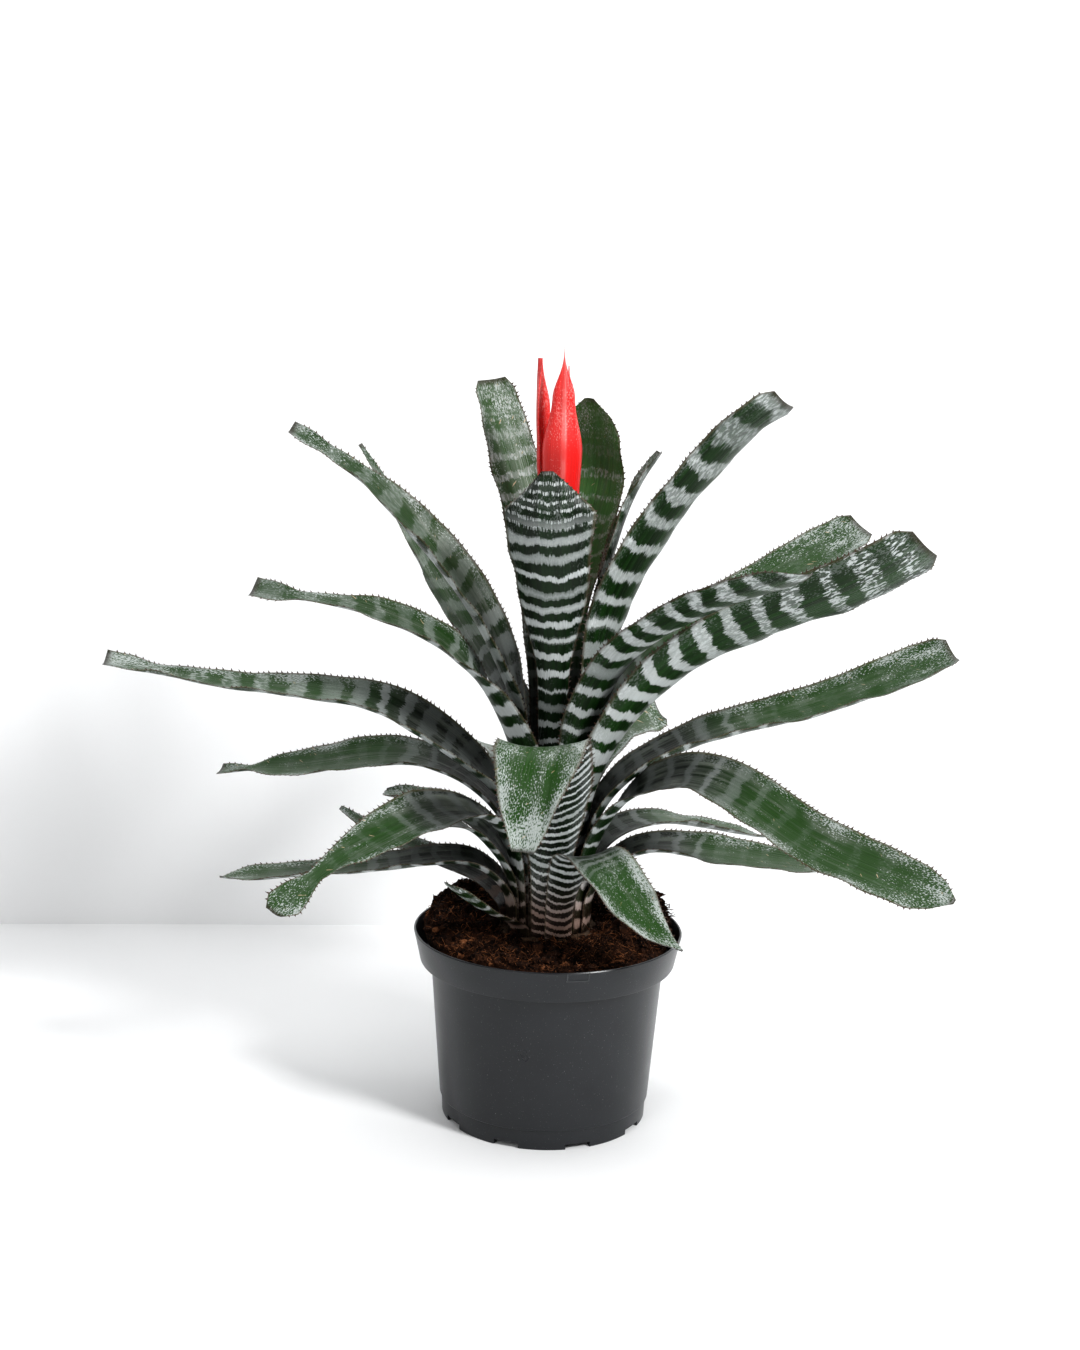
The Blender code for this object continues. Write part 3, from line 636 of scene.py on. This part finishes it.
# %% Leaf grid: positions, normals and distances on the blade
def leaf_grid(spec, seed, stations, across):
    """Rows of (point, inner normal, across, along, share), in metres."""
    points, length = even_points(leaf_path(spec), stations + 1)
    step = length / stations
    hug = math.radians(spec["sheath"])
    rows = []
    since = 0.0
    for index, point in enumerate(points):
        share = index / stations
        before = points[max(0, index - 1)]
        after = points[min(stations, index + 1)]
        tangent = (after - before).normalized() if index else Vector((0.0, 0.0, 1.0))
        out = math.hypot(point.x, point.y)
        side = Vector((point.y, -point.x, 0.0)) / out
        side = (side - tangent * side.dot(tangent)).normalized()
        inner = side.cross(tangent)
        if since > 0.0:
            since += step
        elif point.z > spec["leave"]:
            since = point.z - spec["leave"]
        free = min(1.0, since / LEAF_SPREAD)
        free = free * free * (3.0 - 2.0 * free)
        width = (out * hug) * (1.0 - free) + spec["width"] * free
        width = min(width, spec["width"]) * leaf_taper(spec["tip"], share)
        channel = hug * (1.0 - free) + math.radians(key_value(spec["channel"], share)) * free
        roll = math.radians(key_value(spec["roll"], share)
                            + 4.0 * math.sin(0.021 * length * share + seed)) * free
        side, inner = (side * math.cos(roll) - inner * math.sin(roll),
                       inner * math.cos(roll) + side * math.sin(roll))
        bow = width / channel
        drop = 0.5 * bow * (1.0 - math.cos(channel / 2.0)) * free
        row = []
        for column in range(across + 1):
            u = 2.0 * column / across - 1.0
            swing = 0.5 * u * channel
            normal = inner * math.cos(swing) - side * math.sin(swing)
            # a slow ripple along both margins
            ripple = (0.9 * math.sin(0.11 * length * share + 2.1 * seed + 1.5 * u)
                      + 0.5 * math.sin(0.23 * length * share + 5.0 * u + seed))
            place = (point + side * (bow * math.sin(swing))
                     + inner * (bow * (1.0 - math.cos(swing)) - drop)
                     + normal * (ripple * u * u * free))
            row.append((place * MM, normal, 0.5 * u * width * MM, share * length * MM, share))
        rows.append(row)
    return rows


# %% Blade mesh: two skins that meet in a thin margin
BLADE_THICK = 1.1 * MM


def blade_mesh(name, rows, seed):
    """Closed mesh of a blade, thick at the middle and thin at its margins."""
    count = len(rows)
    wide = len(rows[0])
    positions = []
    place_data = []
    extra_data = []
    for face_side in (1.0, 0.0):
        for row in rows:
            for column, (point, normal, across, along, share) in enumerate(row):
                u = 2.0 * column / (wide - 1) - 1.0
                half = BLADE_THICK * (0.12 + 0.38 * (1.0 - u ** 4))
                half *= min(1.0, 0.25 + 9.0 * (1.0 - share))
                positions.append(point + normal * (half if face_side else -half))
                place_data += [across, along, seed]
                extra_data += [share, face_side, abs(u)]
    skin = count * wide
    faces = []
    for r in range(count - 1):
        for c in range(wide - 1):
            a = r * wide + c
            quad = (a, a + 1, a + 1 + wide, a + wide)
            faces.append(quad)
            faces.append(tuple(skin + i for i in reversed(quad)))
    rim = [r * wide for r in range(count)]
    rim += [(count - 1) * wide + c for c in range(1, wide)]
    rim += [r * wide + wide - 1 for r in range(count - 2, -1, -1)]
    rim += [c for c in range(wide - 2, 0, -1)]
    for a, b in zip(rim, rim[1:] + rim[:1]):
        faces.append((a, b, skin + b, skin + a))
    mesh = bpy.data.meshes.new(name)
    mesh.from_pydata(positions, [], faces)
    for layer, data in (("blade", place_data), ("blade_extra", extra_data)):
        mesh.attributes.new(layer, "FLOAT_VECTOR", "POINT").data.foreach_set("vector", data)
    mesh.shade_smooth()
    return mesh


# %% Spines along both margins
SPINE_STEP = 3.6 * MM
SPINE_START = 12.0 * MM
SPINE_SIZE = (1.2, 2.0)


def add_spines(mesh, rows, seed):
    """Append small hooks that lean towards the tip, in the mesh's second finish."""
    dice = random.Random(int(seed * 1000.0))
    form = bmesh.new()
    form.from_mesh(mesh)
    for column, inward in ((0, 1), (-1, -2)):
        since = 0.0
        goal = SPINE_START
        for before, after in zip(rows, rows[1:]):
            edge_a = before[column][0]
            edge_b = after[column][0]
            span = (edge_b - edge_a).length
            while since + span > goal and before[column][4] < 0.985:
                part = (goal - since) / span
                foot = edge_a.lerp(edge_b, part)
                along = (edge_b - edge_a).normalized()
                away = (before[column][0] - before[inward][0]).normalized()
                normal = before[column][1]
                size = dice.uniform(*SPINE_SIZE) * MM
                tip = foot + away * size + along * size * dice.uniform(0.3, 0.8)
                base = foot - away * 0.25 * MM
                corners = [base - along * 0.65 * MM, base + along * 0.75 * MM,
                           base + normal * 0.34 * MM, base - normal * 0.34 * MM]
                verts = [form.verts.new(corner) for corner in corners]
                top = form.verts.new(tip)
                ring = (verts[0], verts[2], verts[1], verts[3])
                sides = [(a, b, top) for a, b in zip(ring, ring[1:] + ring[:1])]
                for corner_list in sides + [tuple(reversed(ring))]:
                    form.faces.new(corner_list).material_index = 1
                goal += SPINE_STEP * dice.uniform(0.7, 1.4)
            since += span
    form.to_mesh(mesh)
    form.free()


# %% Build every leaf
LEAF_STATIONS = 96
LEAF_ACROSS = 16

for number, (name, spec) in enumerate(LEAVES.items()):
    seed = 1.7 * number + 0.4
    rows = leaf_grid(spec, seed, LEAF_STATIONS, LEAF_ACROSS)
    mesh = blade_mesh(name + "_blade", rows, seed)
    add_spines(mesh, rows, seed)
    finish_piece(mesh.name, mesh, (LEAF_FINISHES[spec["finish"]], spine_material),
                 "leaf_blade", name)
print("leaves:", len(LEAVES))

# %% [markdown]
# ## Bracts
# The red spike is a bud: boat-shaped bracts wrapped round the flower stalk. Each is an arc
# round the stalk whose radius swells and then closes to a point.

# %% Bract finish: waxy red with pale scurf along the keel
bract_material, t, shader = new_material("bract_red")
across, along, seed, share, inner, margin = blade_places(t)
where = dict(Across=across, Along=along, Seed=seed)
speck = use_group(t, scurf, **where, Amount=t.ramp(share, 0.3, 0.9, 0.02, 0.26))
vein = use_group(t, veins, **where)
red = t.mix(vein["Streak"], rgb(0.58, 0.004, 0.005), rgb(0.84, 0.010, 0.008))
pink = t.mix(vein["Vein"], rgb(0.66, 0.012, 0.012), rgb(0.84, 0.050, 0.040))
facet = t.times(t.ramp(across, 0.001, -0.003), t.ramp(share, 0.2, 0.6, 0.5, 0.9))
red = t.mix(facet, red, pink)
keel = t.times(t.ramp(t.math("ABSOLUTE", across), 0.0022, 0.0004),
              t.ramp(speck["Film"], 0.1, 0.6, 0.35, 0.9))
pale = t.math("MAXIMUM", t.times(speck["Speckle"], 0.45),
              t.times(keel, 0.30))
t.link(t.mix(pale, red, rgb(0.92, 0.45, 0.42)), shader.inputs["Base Color"])
shader.inputs["Roughness"].default_value = 0.42
t.bump(vein["Vein"], shader, 0.5, 0.0003)

# %% Build the bracts
BRACTS = {
    "bract_front": dict(
        turn=-85, foot=330, top=486, bow=(7.4, 8.5, 12.0, 13.5, 9.0, 1.6),
        wrap=(130, 140, 150, 140, 105, 6)),
    "bract_rear_left": dict(
        turn=152, foot=330, top=478, bow=(7.4, 8.5, 12.0, 14.5, 15.5, 15.5),
        wrap=(85, 85, 95, 95, 60, 1)),
    "bract_rear_right": dict(
        turn=50, foot=330, top=474, bow=(7.4, 8.5, 11.0, 12.0, 9.0, 4.5),
        wrap=(85, 85, 85, 80, 55, 2)),
}


def bract_rows(spec, stations, across):
    """Grid of an arc round the stalk, in the same form as a leaf's."""
    rows = []
    turn = math.radians(spec["turn"])
    for index in range(stations + 1):
        share = index / stations
        height = spec["foot"] + (spec["top"] - spec["foot"]) * share
        bow = key_value(spec["bow"], share)
        wrap = math.radians(key_value(spec["wrap"], share))
        row = []
        for column in range(across + 1):
            u = 1.0 - 2.0 * column / across
            angle = turn + 0.5 * u * wrap
            outward = Vector((math.cos(angle), math.sin(angle), 0.0))
            keel = 1.0 + 0.14 * math.exp(-(u / 0.16) ** 2) - 0.05 * abs(u)
            place = outward * (bow * keel) + Vector((0.0, 0.0, height))
            row.append((place * MM, -outward, 0.5 * u * wrap * bow * MM,
                        (height - spec["foot"]) * MM, share))
        rows.append(row)
    return rows


for number, (name, spec) in enumerate(BRACTS.items()):
    mesh = blade_mesh(name + "_sheath", bract_rows(spec, 48, 14), 3.3 * number)
    finish_piece(mesh.name, mesh, (bract_material,), "bract", name)
print("bracts:", len(BRACTS))

# %% [markdown]
# ## Pot
# A nursery pot is blown or moulded from thin black plastic: a tapered wall, a rim band
# turned outwards, a small step above the foot and a notched foot ring. A turned profile
# with small round edges gives the soft lines of light along the rim.

# %% Pot finish: satin charcoal plastic with faint scuffs and dust
def pot_finish(name, low, high):
    material, t, shader = new_material(name)
    tone = use_group(t, mottle, Coarse=35.0, Fine=1400.0)
    dust = t.ramp(tone["Grain"], 0.68, 0.72)
    t.link(t.mix(t.times(dust, 0.7), t.mix(tone["Patch"], rgb(*low), rgb(*high)),
                 rgb(0.18, 0.18, 0.18)), shader.inputs["Base Color"])
    t.link(t.plus(0.22, t.times(tone["Patch"], 0.18)),
           shader.inputs["Roughness"])
    shader.inputs["Specular IOR Level"].default_value = 0.45
    t.bump(tone["Grain"], shader, 0.15, 0.0003)
    return material


pot_material = pot_finish("pot_plastic", (0.009, 0.010, 0.012), (0.017, 0.019, 0.022))
# the rim mark's plastic is painted lighter: a painted highlight where its edges catch the light
mark_material = pot_finish("pot_mark_painted_highlight", (0.030, 0.031, 0.034), (0.050, 0.052, 0.056))


# %% Turned mesh helper
def turned_mesh(name, profile, steps):
    """Mesh of (radius, height) points in metres, spun round the Z axis and closed."""
    form = bmesh.new()
    verts = [form.verts.new((r, 0.0, z)) for r, z in profile]
    edges = [form.edges.new(pair) for pair in zip(verts, verts[1:])]
    if profile[0][0] > 0.0:
        edges.append(form.edges.new((verts[-1], verts[0])))
    bmesh.ops.spin(form, geom=verts + edges, cent=(0.0, 0.0, 0.0), axis=(0.0, 0.0, 1.0),
                   angle=2.0 * math.pi, steps=steps, use_merge=True)
    bmesh.ops.remove_doubles(form, verts=form.verts, dist=1e-6)
    bmesh.ops.recalc_face_normals(form, faces=form.faces)
    return form_mesh(name, form)


# %% Build the pot
height = pot_high.z
rim_r = (pot_high.x - pot_low.x) / 2.0
band_z = height - 20.0 * MM
profile = [
    (0.0, 1.8 * MM), (26.4 * MM, 1.8 * MM), (30.0 * MM, 5.8 * MM), (64.2 * MM, 5.8 * MM),
    (65.3 * MM, 14.6 * MM), (72.2 * MM, band_z + 1.6 * MM), (78.9 * MM, band_z + 1.6 * MM),
    (rim_r - 1.6 * MM, height - 0.5 * MM), (rim_r - 1.2 * MM, height),
    (rim_r - 0.4 * MM, height), (rim_r, height - 0.6 * MM),
    (80.9 * MM, band_z + 0.8 * MM), (80.4 * MM, band_z), (74.6 * MM, band_z),
    (73.8 * MM, band_z - 1.0 * MM), (66.95 * MM, 13.4 * MM), (66.5 * MM, 12.8 * MM),
    (65.6 * MM, 12.6 * MM), (65.7 * MM, 11.8 * MM), (65.2 * MM, 0.4 * MM), (64.8 * MM, 0.0),
    (61.2 * MM, 0.0), (60.2 * MM, 4.0 * MM), (31.0 * MM, 4.0 * MM), (28.0 * MM, 0.0), (0.0, 0.0),
]
pot_mesh = turned_mesh("pot_body", profile, 180)


def box_points(form, size, matrix):
    """Add a box of a given size to a bmesh, moved by a matrix."""
    made = bmesh.ops.create_cube(form, size=1.0)
    bmesh.ops.scale(form, vec=Vector(size), verts=made["verts"])
    bmesh.ops.transform(form, matrix=matrix, verts=made["verts"])


def around(angle, radius, z):
    """Matrix that stands a piece at a compass angle, facing outwards."""
    return Matrix.Rotation(angle, 4, "Z") @ Matrix.Translation((radius, 0.0, z))


# nine notches in the foot ring and eight drain holes in the bottom
NOTCHES = 9
NOTCH_SIZE = (12.0 * MM, 16.0 * MM, 6.8 * MM)
NOTCH_RING_R = 65.8 * MM
HOLES = 8
HOLE_R = 4.0 * MM
HOLE_RING_R = 46.0 * MM
form = bmesh.new()
for index in range(NOTCHES):
    box_points(form, NOTCH_SIZE,
               around(2.0 * math.pi * (index + 0.25) / NOTCHES, NOTCH_RING_R, 0.0))
for index in range(HOLES):
    made = bmesh.ops.create_cone(form, cap_ends=True, segments=32, radius1=HOLE_R,
                                 radius2=HOLE_R, depth=8.0 * MM)
    bmesh.ops.transform(form, verts=made["verts"],
                        matrix=around(2.0 * math.pi * index / HOLES, HOLE_RING_R, 4.9 * MM))
draft = bpy.data.objects.new("pot_draft", pot_mesh)
cutter = bpy.data.objects.new("pot_cutters", form_mesh("pot_cutters", form))
for item in (draft, cutter):
    bpy.context.scene.collection.objects.link(item)
cut = draft.modifiers.new("Notches and holes", "BOOLEAN")
cut.solver = "EXACT"
cut.object = cutter
ready = draft.evaluated_get(bpy.context.evaluated_depsgraph_get())
pot_mesh = bpy.data.meshes.new_from_object(ready)
for item in (draft, cutter):
    bpy.data.objects.remove(item)
pot_mesh.name = "pot_body"
pot_mesh.materials.clear()
pot_mesh.shade_smooth()
pot_mesh.set_sharp_from_angle(angle=math.radians(32.0))
finish_piece("pot_body", pot_mesh, (pot_material,), "pot_plastic", "pot")

# A small moulded frame stands proud of the rim band in front: two posts and a sill of
# short lengths that follow the band. Each part: (across, up, width, height) in mm.
MARK_TURN = math.radians(-77.0)
MARK_R = 84.0
MARK_DEPTH = 0.9
BAND_LEAN = math.atan2(4.1, 19.2)
SILL_WIDTH = 13.7
mark_parts = [(-6.5, -3.1, 0.7, 5.4), (6.5, -3.1, 0.7, 5.4)]
mark_parts += [((part - 3.5) * SILL_WIDTH / 8.0, -5.5, SILL_WIDTH / 8.0 * 1.1, 0.7)
               for part in range(8)]
form = bmesh.new()
for across_mm, up_mm, wide_mm, tall_mm in mark_parts:
    box_points(form, (MARK_DEPTH * MM, wide_mm * MM, tall_mm * MM),
               around(MARK_TURN + across_mm / MARK_R,
                      rim_r - 0.05 * MM + up_mm * MM * math.tan(BAND_LEAN),
                      height + up_mm * MM) @ Matrix.Rotation(BAND_LEAN, 4, "Y"))
finish_piece("rim_mark", form_mesh("rim_mark", form), (mark_material,), "pot_plastic")
print("pot:", len(pot_mesh.polygons), "faces")

# %% [markdown]
# ## Soil
# Peat is a loose heap of dark crumbs with orange-brown fibres in it. A lumpy surface alone
# looks like clay, so real crumbs and fibres lie on it.

# %% Peat finishes
def peat_finish(name, low, high, fleck, share, roughness):
    """Two browns in patches, with paler flecks over a share of the grain."""
    material, t, shader = new_material(name)
    tone = use_group(t, mottle, Coarse=150.0, Fine=900.0)
    base = t.mix(t.ramp(tone["Patch"], 0.38, 0.66), rgb(*low), rgb(*high))
    t.link(t.mix(t.ramp(tone["Grain"], share, share + 0.1), base, rgb(*fleck)),
           shader.inputs["Base Color"])
    shader.inputs["Roughness"].default_value = roughness
    shader.inputs["Specular IOR Level"].default_value = 0.15
    t.bump(tone["Grain"], shader, 0.9, 0.0012)
    return material


peat_material = peat_finish("peat", (0.007, 0.003, 0.002), (0.045, 0.018, 0.009),
                            (0.13, 0.055, 0.026), 0.58, 0.95)
fibre_material = peat_finish("peat_fibre", (0.050, 0.018, 0.008), (0.30, 0.125, 0.055),
                             (0.45, 0.24, 0.13), 0.62, 0.85)


# %% Soil surface
SOIL_R = 78.6 * MM
CREST_R = 60.0 * MM
MIDDLE_R = 32.0 * MM
MIDDLE_Z = 121.5 * MM
CREST_Z = 134.0 * MM
EDGE_Z = 121.5 * MM
RIM_WIDTH = 19.0 * MM
FRONT_DIP = 14.0 * MM
EDGE_DIP = 2.5 * MM
LUMPS_PER_METRE = 95.0
LUMP_SIZE = 2.6 * MM
FOOT_R = 72.0 * MM
FOOT_Z = 104.0 * MM


def soil_height(radius, angle):
    """Height of the mound: heaped at the back and sides, nearly level in front."""
    front = 0.5 - 0.5 * math.sin(angle)
    crest = CREST_Z - FRONT_DIP * front ** 1.6
    if radius < CREST_R:
        rise = max(0.0, min(1.0, (radius - MIDDLE_R) / (CREST_R - MIDDLE_R)))
        return MIDDLE_Z + (crest - MIDDLE_Z) * rise
    fall = (radius - CREST_R) / RIM_WIDTH
    edge = EDGE_Z - EDGE_DIP * front
    return crest + (edge - crest) * fall ** 1.6


def soil_point(radius, angle):
    """Point on the lumpy surface."""
    x = radius * math.cos(angle)
    y = radius * math.sin(angle)
    z = soil_height(radius, angle)
    lumps = noise.fractal(Vector((x, y, 0.0)) * LUMPS_PER_METRE, 0.8, 2.1, 5)
    return Vector((x, y, z + lumps * LUMP_SIZE))


# %% Build the soil bed: rings of the surface, and a flat foot inside the pot
SOIL_RINGS = 57
SOIL_AROUND = 150
turns = [2.0 * math.pi * k / SOIL_AROUND for k in range(SOIL_AROUND)]
form = bmesh.new()
rings = []
for i in range(SOIL_RINGS):
    radius = 2.0 * MM + (SOIL_R - 2.0 * MM) * i / (SOIL_RINGS - 1)
    rings.append([form.verts.new(soil_point(radius, turn)) for turn in turns])
rings.append([form.verts.new((FOOT_R * math.cos(turn), FOOT_R * math.sin(turn), FOOT_Z))
              for turn in turns])
for low, high in zip(rings, rings[1:]):
    for k in range(SOIL_AROUND):
        n = (k + 1) % SOIL_AROUND
        form.faces.new((low[k], high[k], high[n], low[n]))
form.faces.new(list(reversed(rings[0])))
form.faces.new(rings[-1])
bmesh.ops.recalc_face_normals(form, faces=form.faces)
soil_mesh = form_mesh("soil_bed", form)
soil_mesh.shade_smooth()
finish_piece("soil_bed", soil_mesh, (peat_material,), "soil_peat", "soil")
print("soil bed:", len(soil_mesh.polygons), "faces")


# %% Crumbs
def scatter(dice, spread, heaped, near):
    """Radius, angle and lift of one bit: anywhere on the soil, or heaped at the rim.

    near = (angle in degrees, its spread, lift in mm) says where and how high a heap is.
    """
    radius = SOIL_R * math.sqrt(dice.uniform(*spread))
    angle = dice.uniform(0.0, 2.0 * math.pi)
    if not near:
        return radius, angle, 0.0
    turn, wide, lift = near
    aside = dice.gauss(0.0, wide)
    radius = SOIL_R * dice.uniform(*heaped)
    lift = lift * MM * math.exp(-(aside / wide) ** 2) * dice.random()
    return radius, math.radians(turn) + aside, lift


def crumb_mesh(name, count, dice, sizes, near):
    """Small ragged lumps in one mesh."""
    form = bmesh.new()
    bmesh.ops.create_icosphere(form, subdivisions=2, radius=1.0)
    ball = [vert.co.copy() for vert in form.verts]
    ball_faces = [[vert.index for vert in face.verts] for face in form.faces]
    form.free()
    places = []
    faces = []
    for _ in range(count):
        radius, angle, lift = scatter(dice, (0.14, 0.985), (0.84, 0.98), near)
        size = dice.choice(sizes) * MM
        centre = soil_point(min(radius, SOIL_R - size), angle)
        centre.z += 0.35 * size + lift
        stretch = Vector([size * dice.uniform(*span)
                          for span in ((0.6, 1.4), (0.6, 1.4), (0.5, 1.0))])
        shift = Vector([dice.uniform(0.0, 50.0) for _ in range(3)])
        first = len(places)
        for way in ball:
            rough = 1.0 + 0.95 * noise.noise(way * 2.4 + shift)
            places.append(centre + way * stretch * rough)
        faces += [[first + i for i in face] for face in ball_faces]
    mesh = bpy.data.meshes.new(name)
    mesh.from_pydata(places, [], faces)
    return mesh


FINE_CRUMBS = (0.6, 0.8, 1.0, 1.3, 1.7, 2.2)
COARSE_CRUMBS = (1.4, 2.0, 2.8, 3.6)
dice = random.Random(11)
for name, count, sizes, material, near in (
        ("soil_crumbs", 1500, FINE_CRUMBS, peat_material, None),
        ("soil_lumps", 260, COARSE_CRUMBS, peat_material, None),
        ("soil_bark_bits", 90, FINE_CRUMBS, fibre_material, None),
        ("soil_heap_right", 200, COARSE_CRUMBS, peat_material, (20.0, 0.15, 10.0)),
        ("soil_heap_left", 260, COARSE_CRUMBS, peat_material, (152.0, 0.30, 6.0)),
        ("soil_clump_left", 26, FINE_CRUMBS, fibre_material, (-140.0, 0.05, 2.0)),
        ("soil_clump_right", 22, FINE_CRUMBS, fibre_material, (-56.0, 0.07, 2.0))):
    finish_piece(name, crumb_mesh(name, count, dice, sizes, near), (material,), "soil_peat")
    print(name + ":", count, "crumbs")


# %% Fibres
TUFT = 7
SPLINE_POINTS = 5


def fibre_tangle(name, count, thick, material, near=None):
    """Short curly fibres in tufts, drawn after the crumbs with the same dice."""
    curve = bpy.data.curves.new(name, "CURVE")
    curve.dimensions = "3D"
    curve.bevel_depth = thick
    curve.bevel_resolution = 0
    curve.use_fill_caps = True
    for _ in range(math.ceil(count / TUFT)):
        radius, angle, lift = scatter(dice, (0.16, 0.99), (0.88, 1.0), near)
        for _ in range(TUFT):
            centre = soil_point(radius, angle)
            centre += Vector([dice.gauss(0.0, 1.6) * MM for _ in range(3)])
            centre.z += 0.8 * MM + lift
            heading = dice.uniform(0.0, 2.0 * math.pi)
            climb = dice.uniform(-0.3, 0.6)
            stride = dice.uniform(0.5, 1.5) * MM
            spline = curve.splines.new("POLY")
            spline.points.add(SPLINE_POINTS - 1)
            for k in range(SPLINE_POINTS):
                heading += dice.uniform(-1.0, 1.0)
                climb += dice.uniform(-0.35, 0.35)
                centre += Vector((math.cos(heading), math.sin(heading), climb)) * stride
                out = math.hypot(centre.x, centre.y)
                if out > SOIL_R and not near:
                    centre.x *= SOIL_R / out
                    centre.y *= SOIL_R / out
                spline.points[k].co = (*centre, 1.0)
                spline.points[k].radius = 1.0 - 0.12 * k
    finish_piece(name, curve, (material,), "soil_peat")
    print(name + ":", len(curve.splines), "fibres")


fibre_tangle("soil_fibres_dark", 2600, 0.24 * MM, peat_material)
fibre_tangle("soil_fibres_rust", 2000, 0.24 * MM, fibre_material)
for number, turn in enumerate((16.0, 27.0, 140.0)):
    fibre_tangle("soil_rim_tuft_%d" % (number + 1), 150, 0.28 * MM, peat_material,
                 (turn, 0.10, 7.0))

# %% [markdown]
# ## Caudex and flower stalk
# The leaf bases hide both, but each is there: the short woody base, and the stem that
# carries the bracts. They keep their CAD shape and get their own finish.

# %% Finishes for the caudex and the stalk
bark_material, t, shader = new_material("caudex_bark")
tone = use_group(t, mottle, Coarse=220.0, Fine=1200.0)
t.link(t.mix(tone["Patch"], rgb(0.035, 0.018, 0.009), rgb(0.13, 0.075, 0.04)),
       shader.inputs["Base Color"])
shader.inputs["Roughness"].default_value = 0.9
t.bump(tone["Grain"], shader, 0.8, 0.001)

stalk_material, t, shader = new_material("flower_stalk")
tone = use_group(t, mottle, Coarse=80.0, Fine=900.0)
t.link(t.mix(tone["Patch"], rgb(0.13, 0.17, 0.05), rgb(0.26, 0.30, 0.12)),
       shader.inputs["Base Color"])
shader.inputs["Roughness"].default_value = 0.6
for name, material in (("caudex", bark_material), ("flower_stalk", stalk_material)):
    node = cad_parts[name]
    node.data.materials.clear()
    node.data.materials.append(material)

# %% [markdown]
# ## Floor, wall and light
# A high-key studio: white floor and wall, a soft key from the right and front, a weak fill
# from the left front, a broad light overhead, and a bright world so that shadows stay pale.

# %% Backdrop
def plane(name, corners, material):
    mesh = bpy.data.meshes.new(name)
    mesh.from_pydata(corners, [], [(0, 1, 2, 3)])
    mesh.materials.append(material)
    item = bpy.data.objects.new(name, mesh)
    bpy.context.scene.collection.objects.link(item)


def backdrop_paint(name):
    """Matt white paint with a trace of unevenness."""
    material, t, shader = new_material(name)
    tone = use_group(t, mottle, Coarse=3.0, Fine=200.0)
    t.link(t.mix(tone["Patch"], rgb(0.87, 0.875, 0.88), rgb(0.90, 0.905, 0.91)),
           shader.inputs["Base Color"])
    shader.inputs["Roughness"].default_value = 0.7
    return material, t, shader


floor_paint = backdrop_paint("floor_paint")[0]
# The wall's far side is clear, so that the plant can be looked at from behind too.
wall_paint, t, shader = backdrop_paint("wall_paint")
either = t.add("MixShader")
t.link(t.add("NewGeometry").outputs["Backfacing"], either.inputs[0])
t.link(shader.outputs[0], either.inputs[1])
t.link(t.add("BsdfTransparent").outputs[0], either.inputs[2])
t.link(either.outputs[0], wall_paint.node_tree.nodes["Material Output"].inputs["Surface"])
REACH = 4.0
WALL_Y = 0.364
WALL_TURN = 0.08
wall_left, wall_right = WALL_Y - REACH * WALL_TURN, WALL_Y + REACH * WALL_TURN
plane("floor", [(-REACH, -REACH, 0.0), (REACH, -REACH, 0.0), (REACH, REACH, 0.0),
                (-REACH, REACH, 0.0)], floor_paint)
plane("wall", [(-REACH, wall_left, 0.0), (REACH, wall_right, 0.0),
               (REACH, wall_right, REACH), (-REACH, wall_left, REACH)], wall_paint)
print("wall", WALL_Y, "m behind the pot's middle")


# %% Lights
def soft_light(name, place, target, size, power):
    data = bpy.data.lights.new(name, "AREA")
    data.shape = "RECTANGLE"
    data.size, data.size_y = size
    data.energy = power
    item = bpy.data.objects.new(name, data)
    bpy.context.scene.collection.objects.link(item)
    item.location = place
    item.rotation_euler = (Vector(target) - Vector(place)).to_track_quat("-Z", "Y").to_euler()
    print("light", name, power, "W")


soft_light("key", (1.5, -1.3, 1.6), (0.0, 0.0, 0.2), (0.45, 0.45), 45.0)
soft_light("front", (-1.1, -1.9, 1.2), (0.0, 0.0, 0.25), (1.0, 1.0), 10.0)
soft_light("top", (0.1, -0.1, 2.2), (0.0, 0.2, 0.0), (1.6, 1.0), 11.0)
world = bpy.data.worlds.new("studio")
bpy.context.scene.world = world
world.use_nodes = True
sky = world.node_tree.nodes["Background"]
sky.inputs["Color"].default_value = rgb(1.0, 1.0, 1.0)
sky.inputs["Strength"].default_value = 0.28
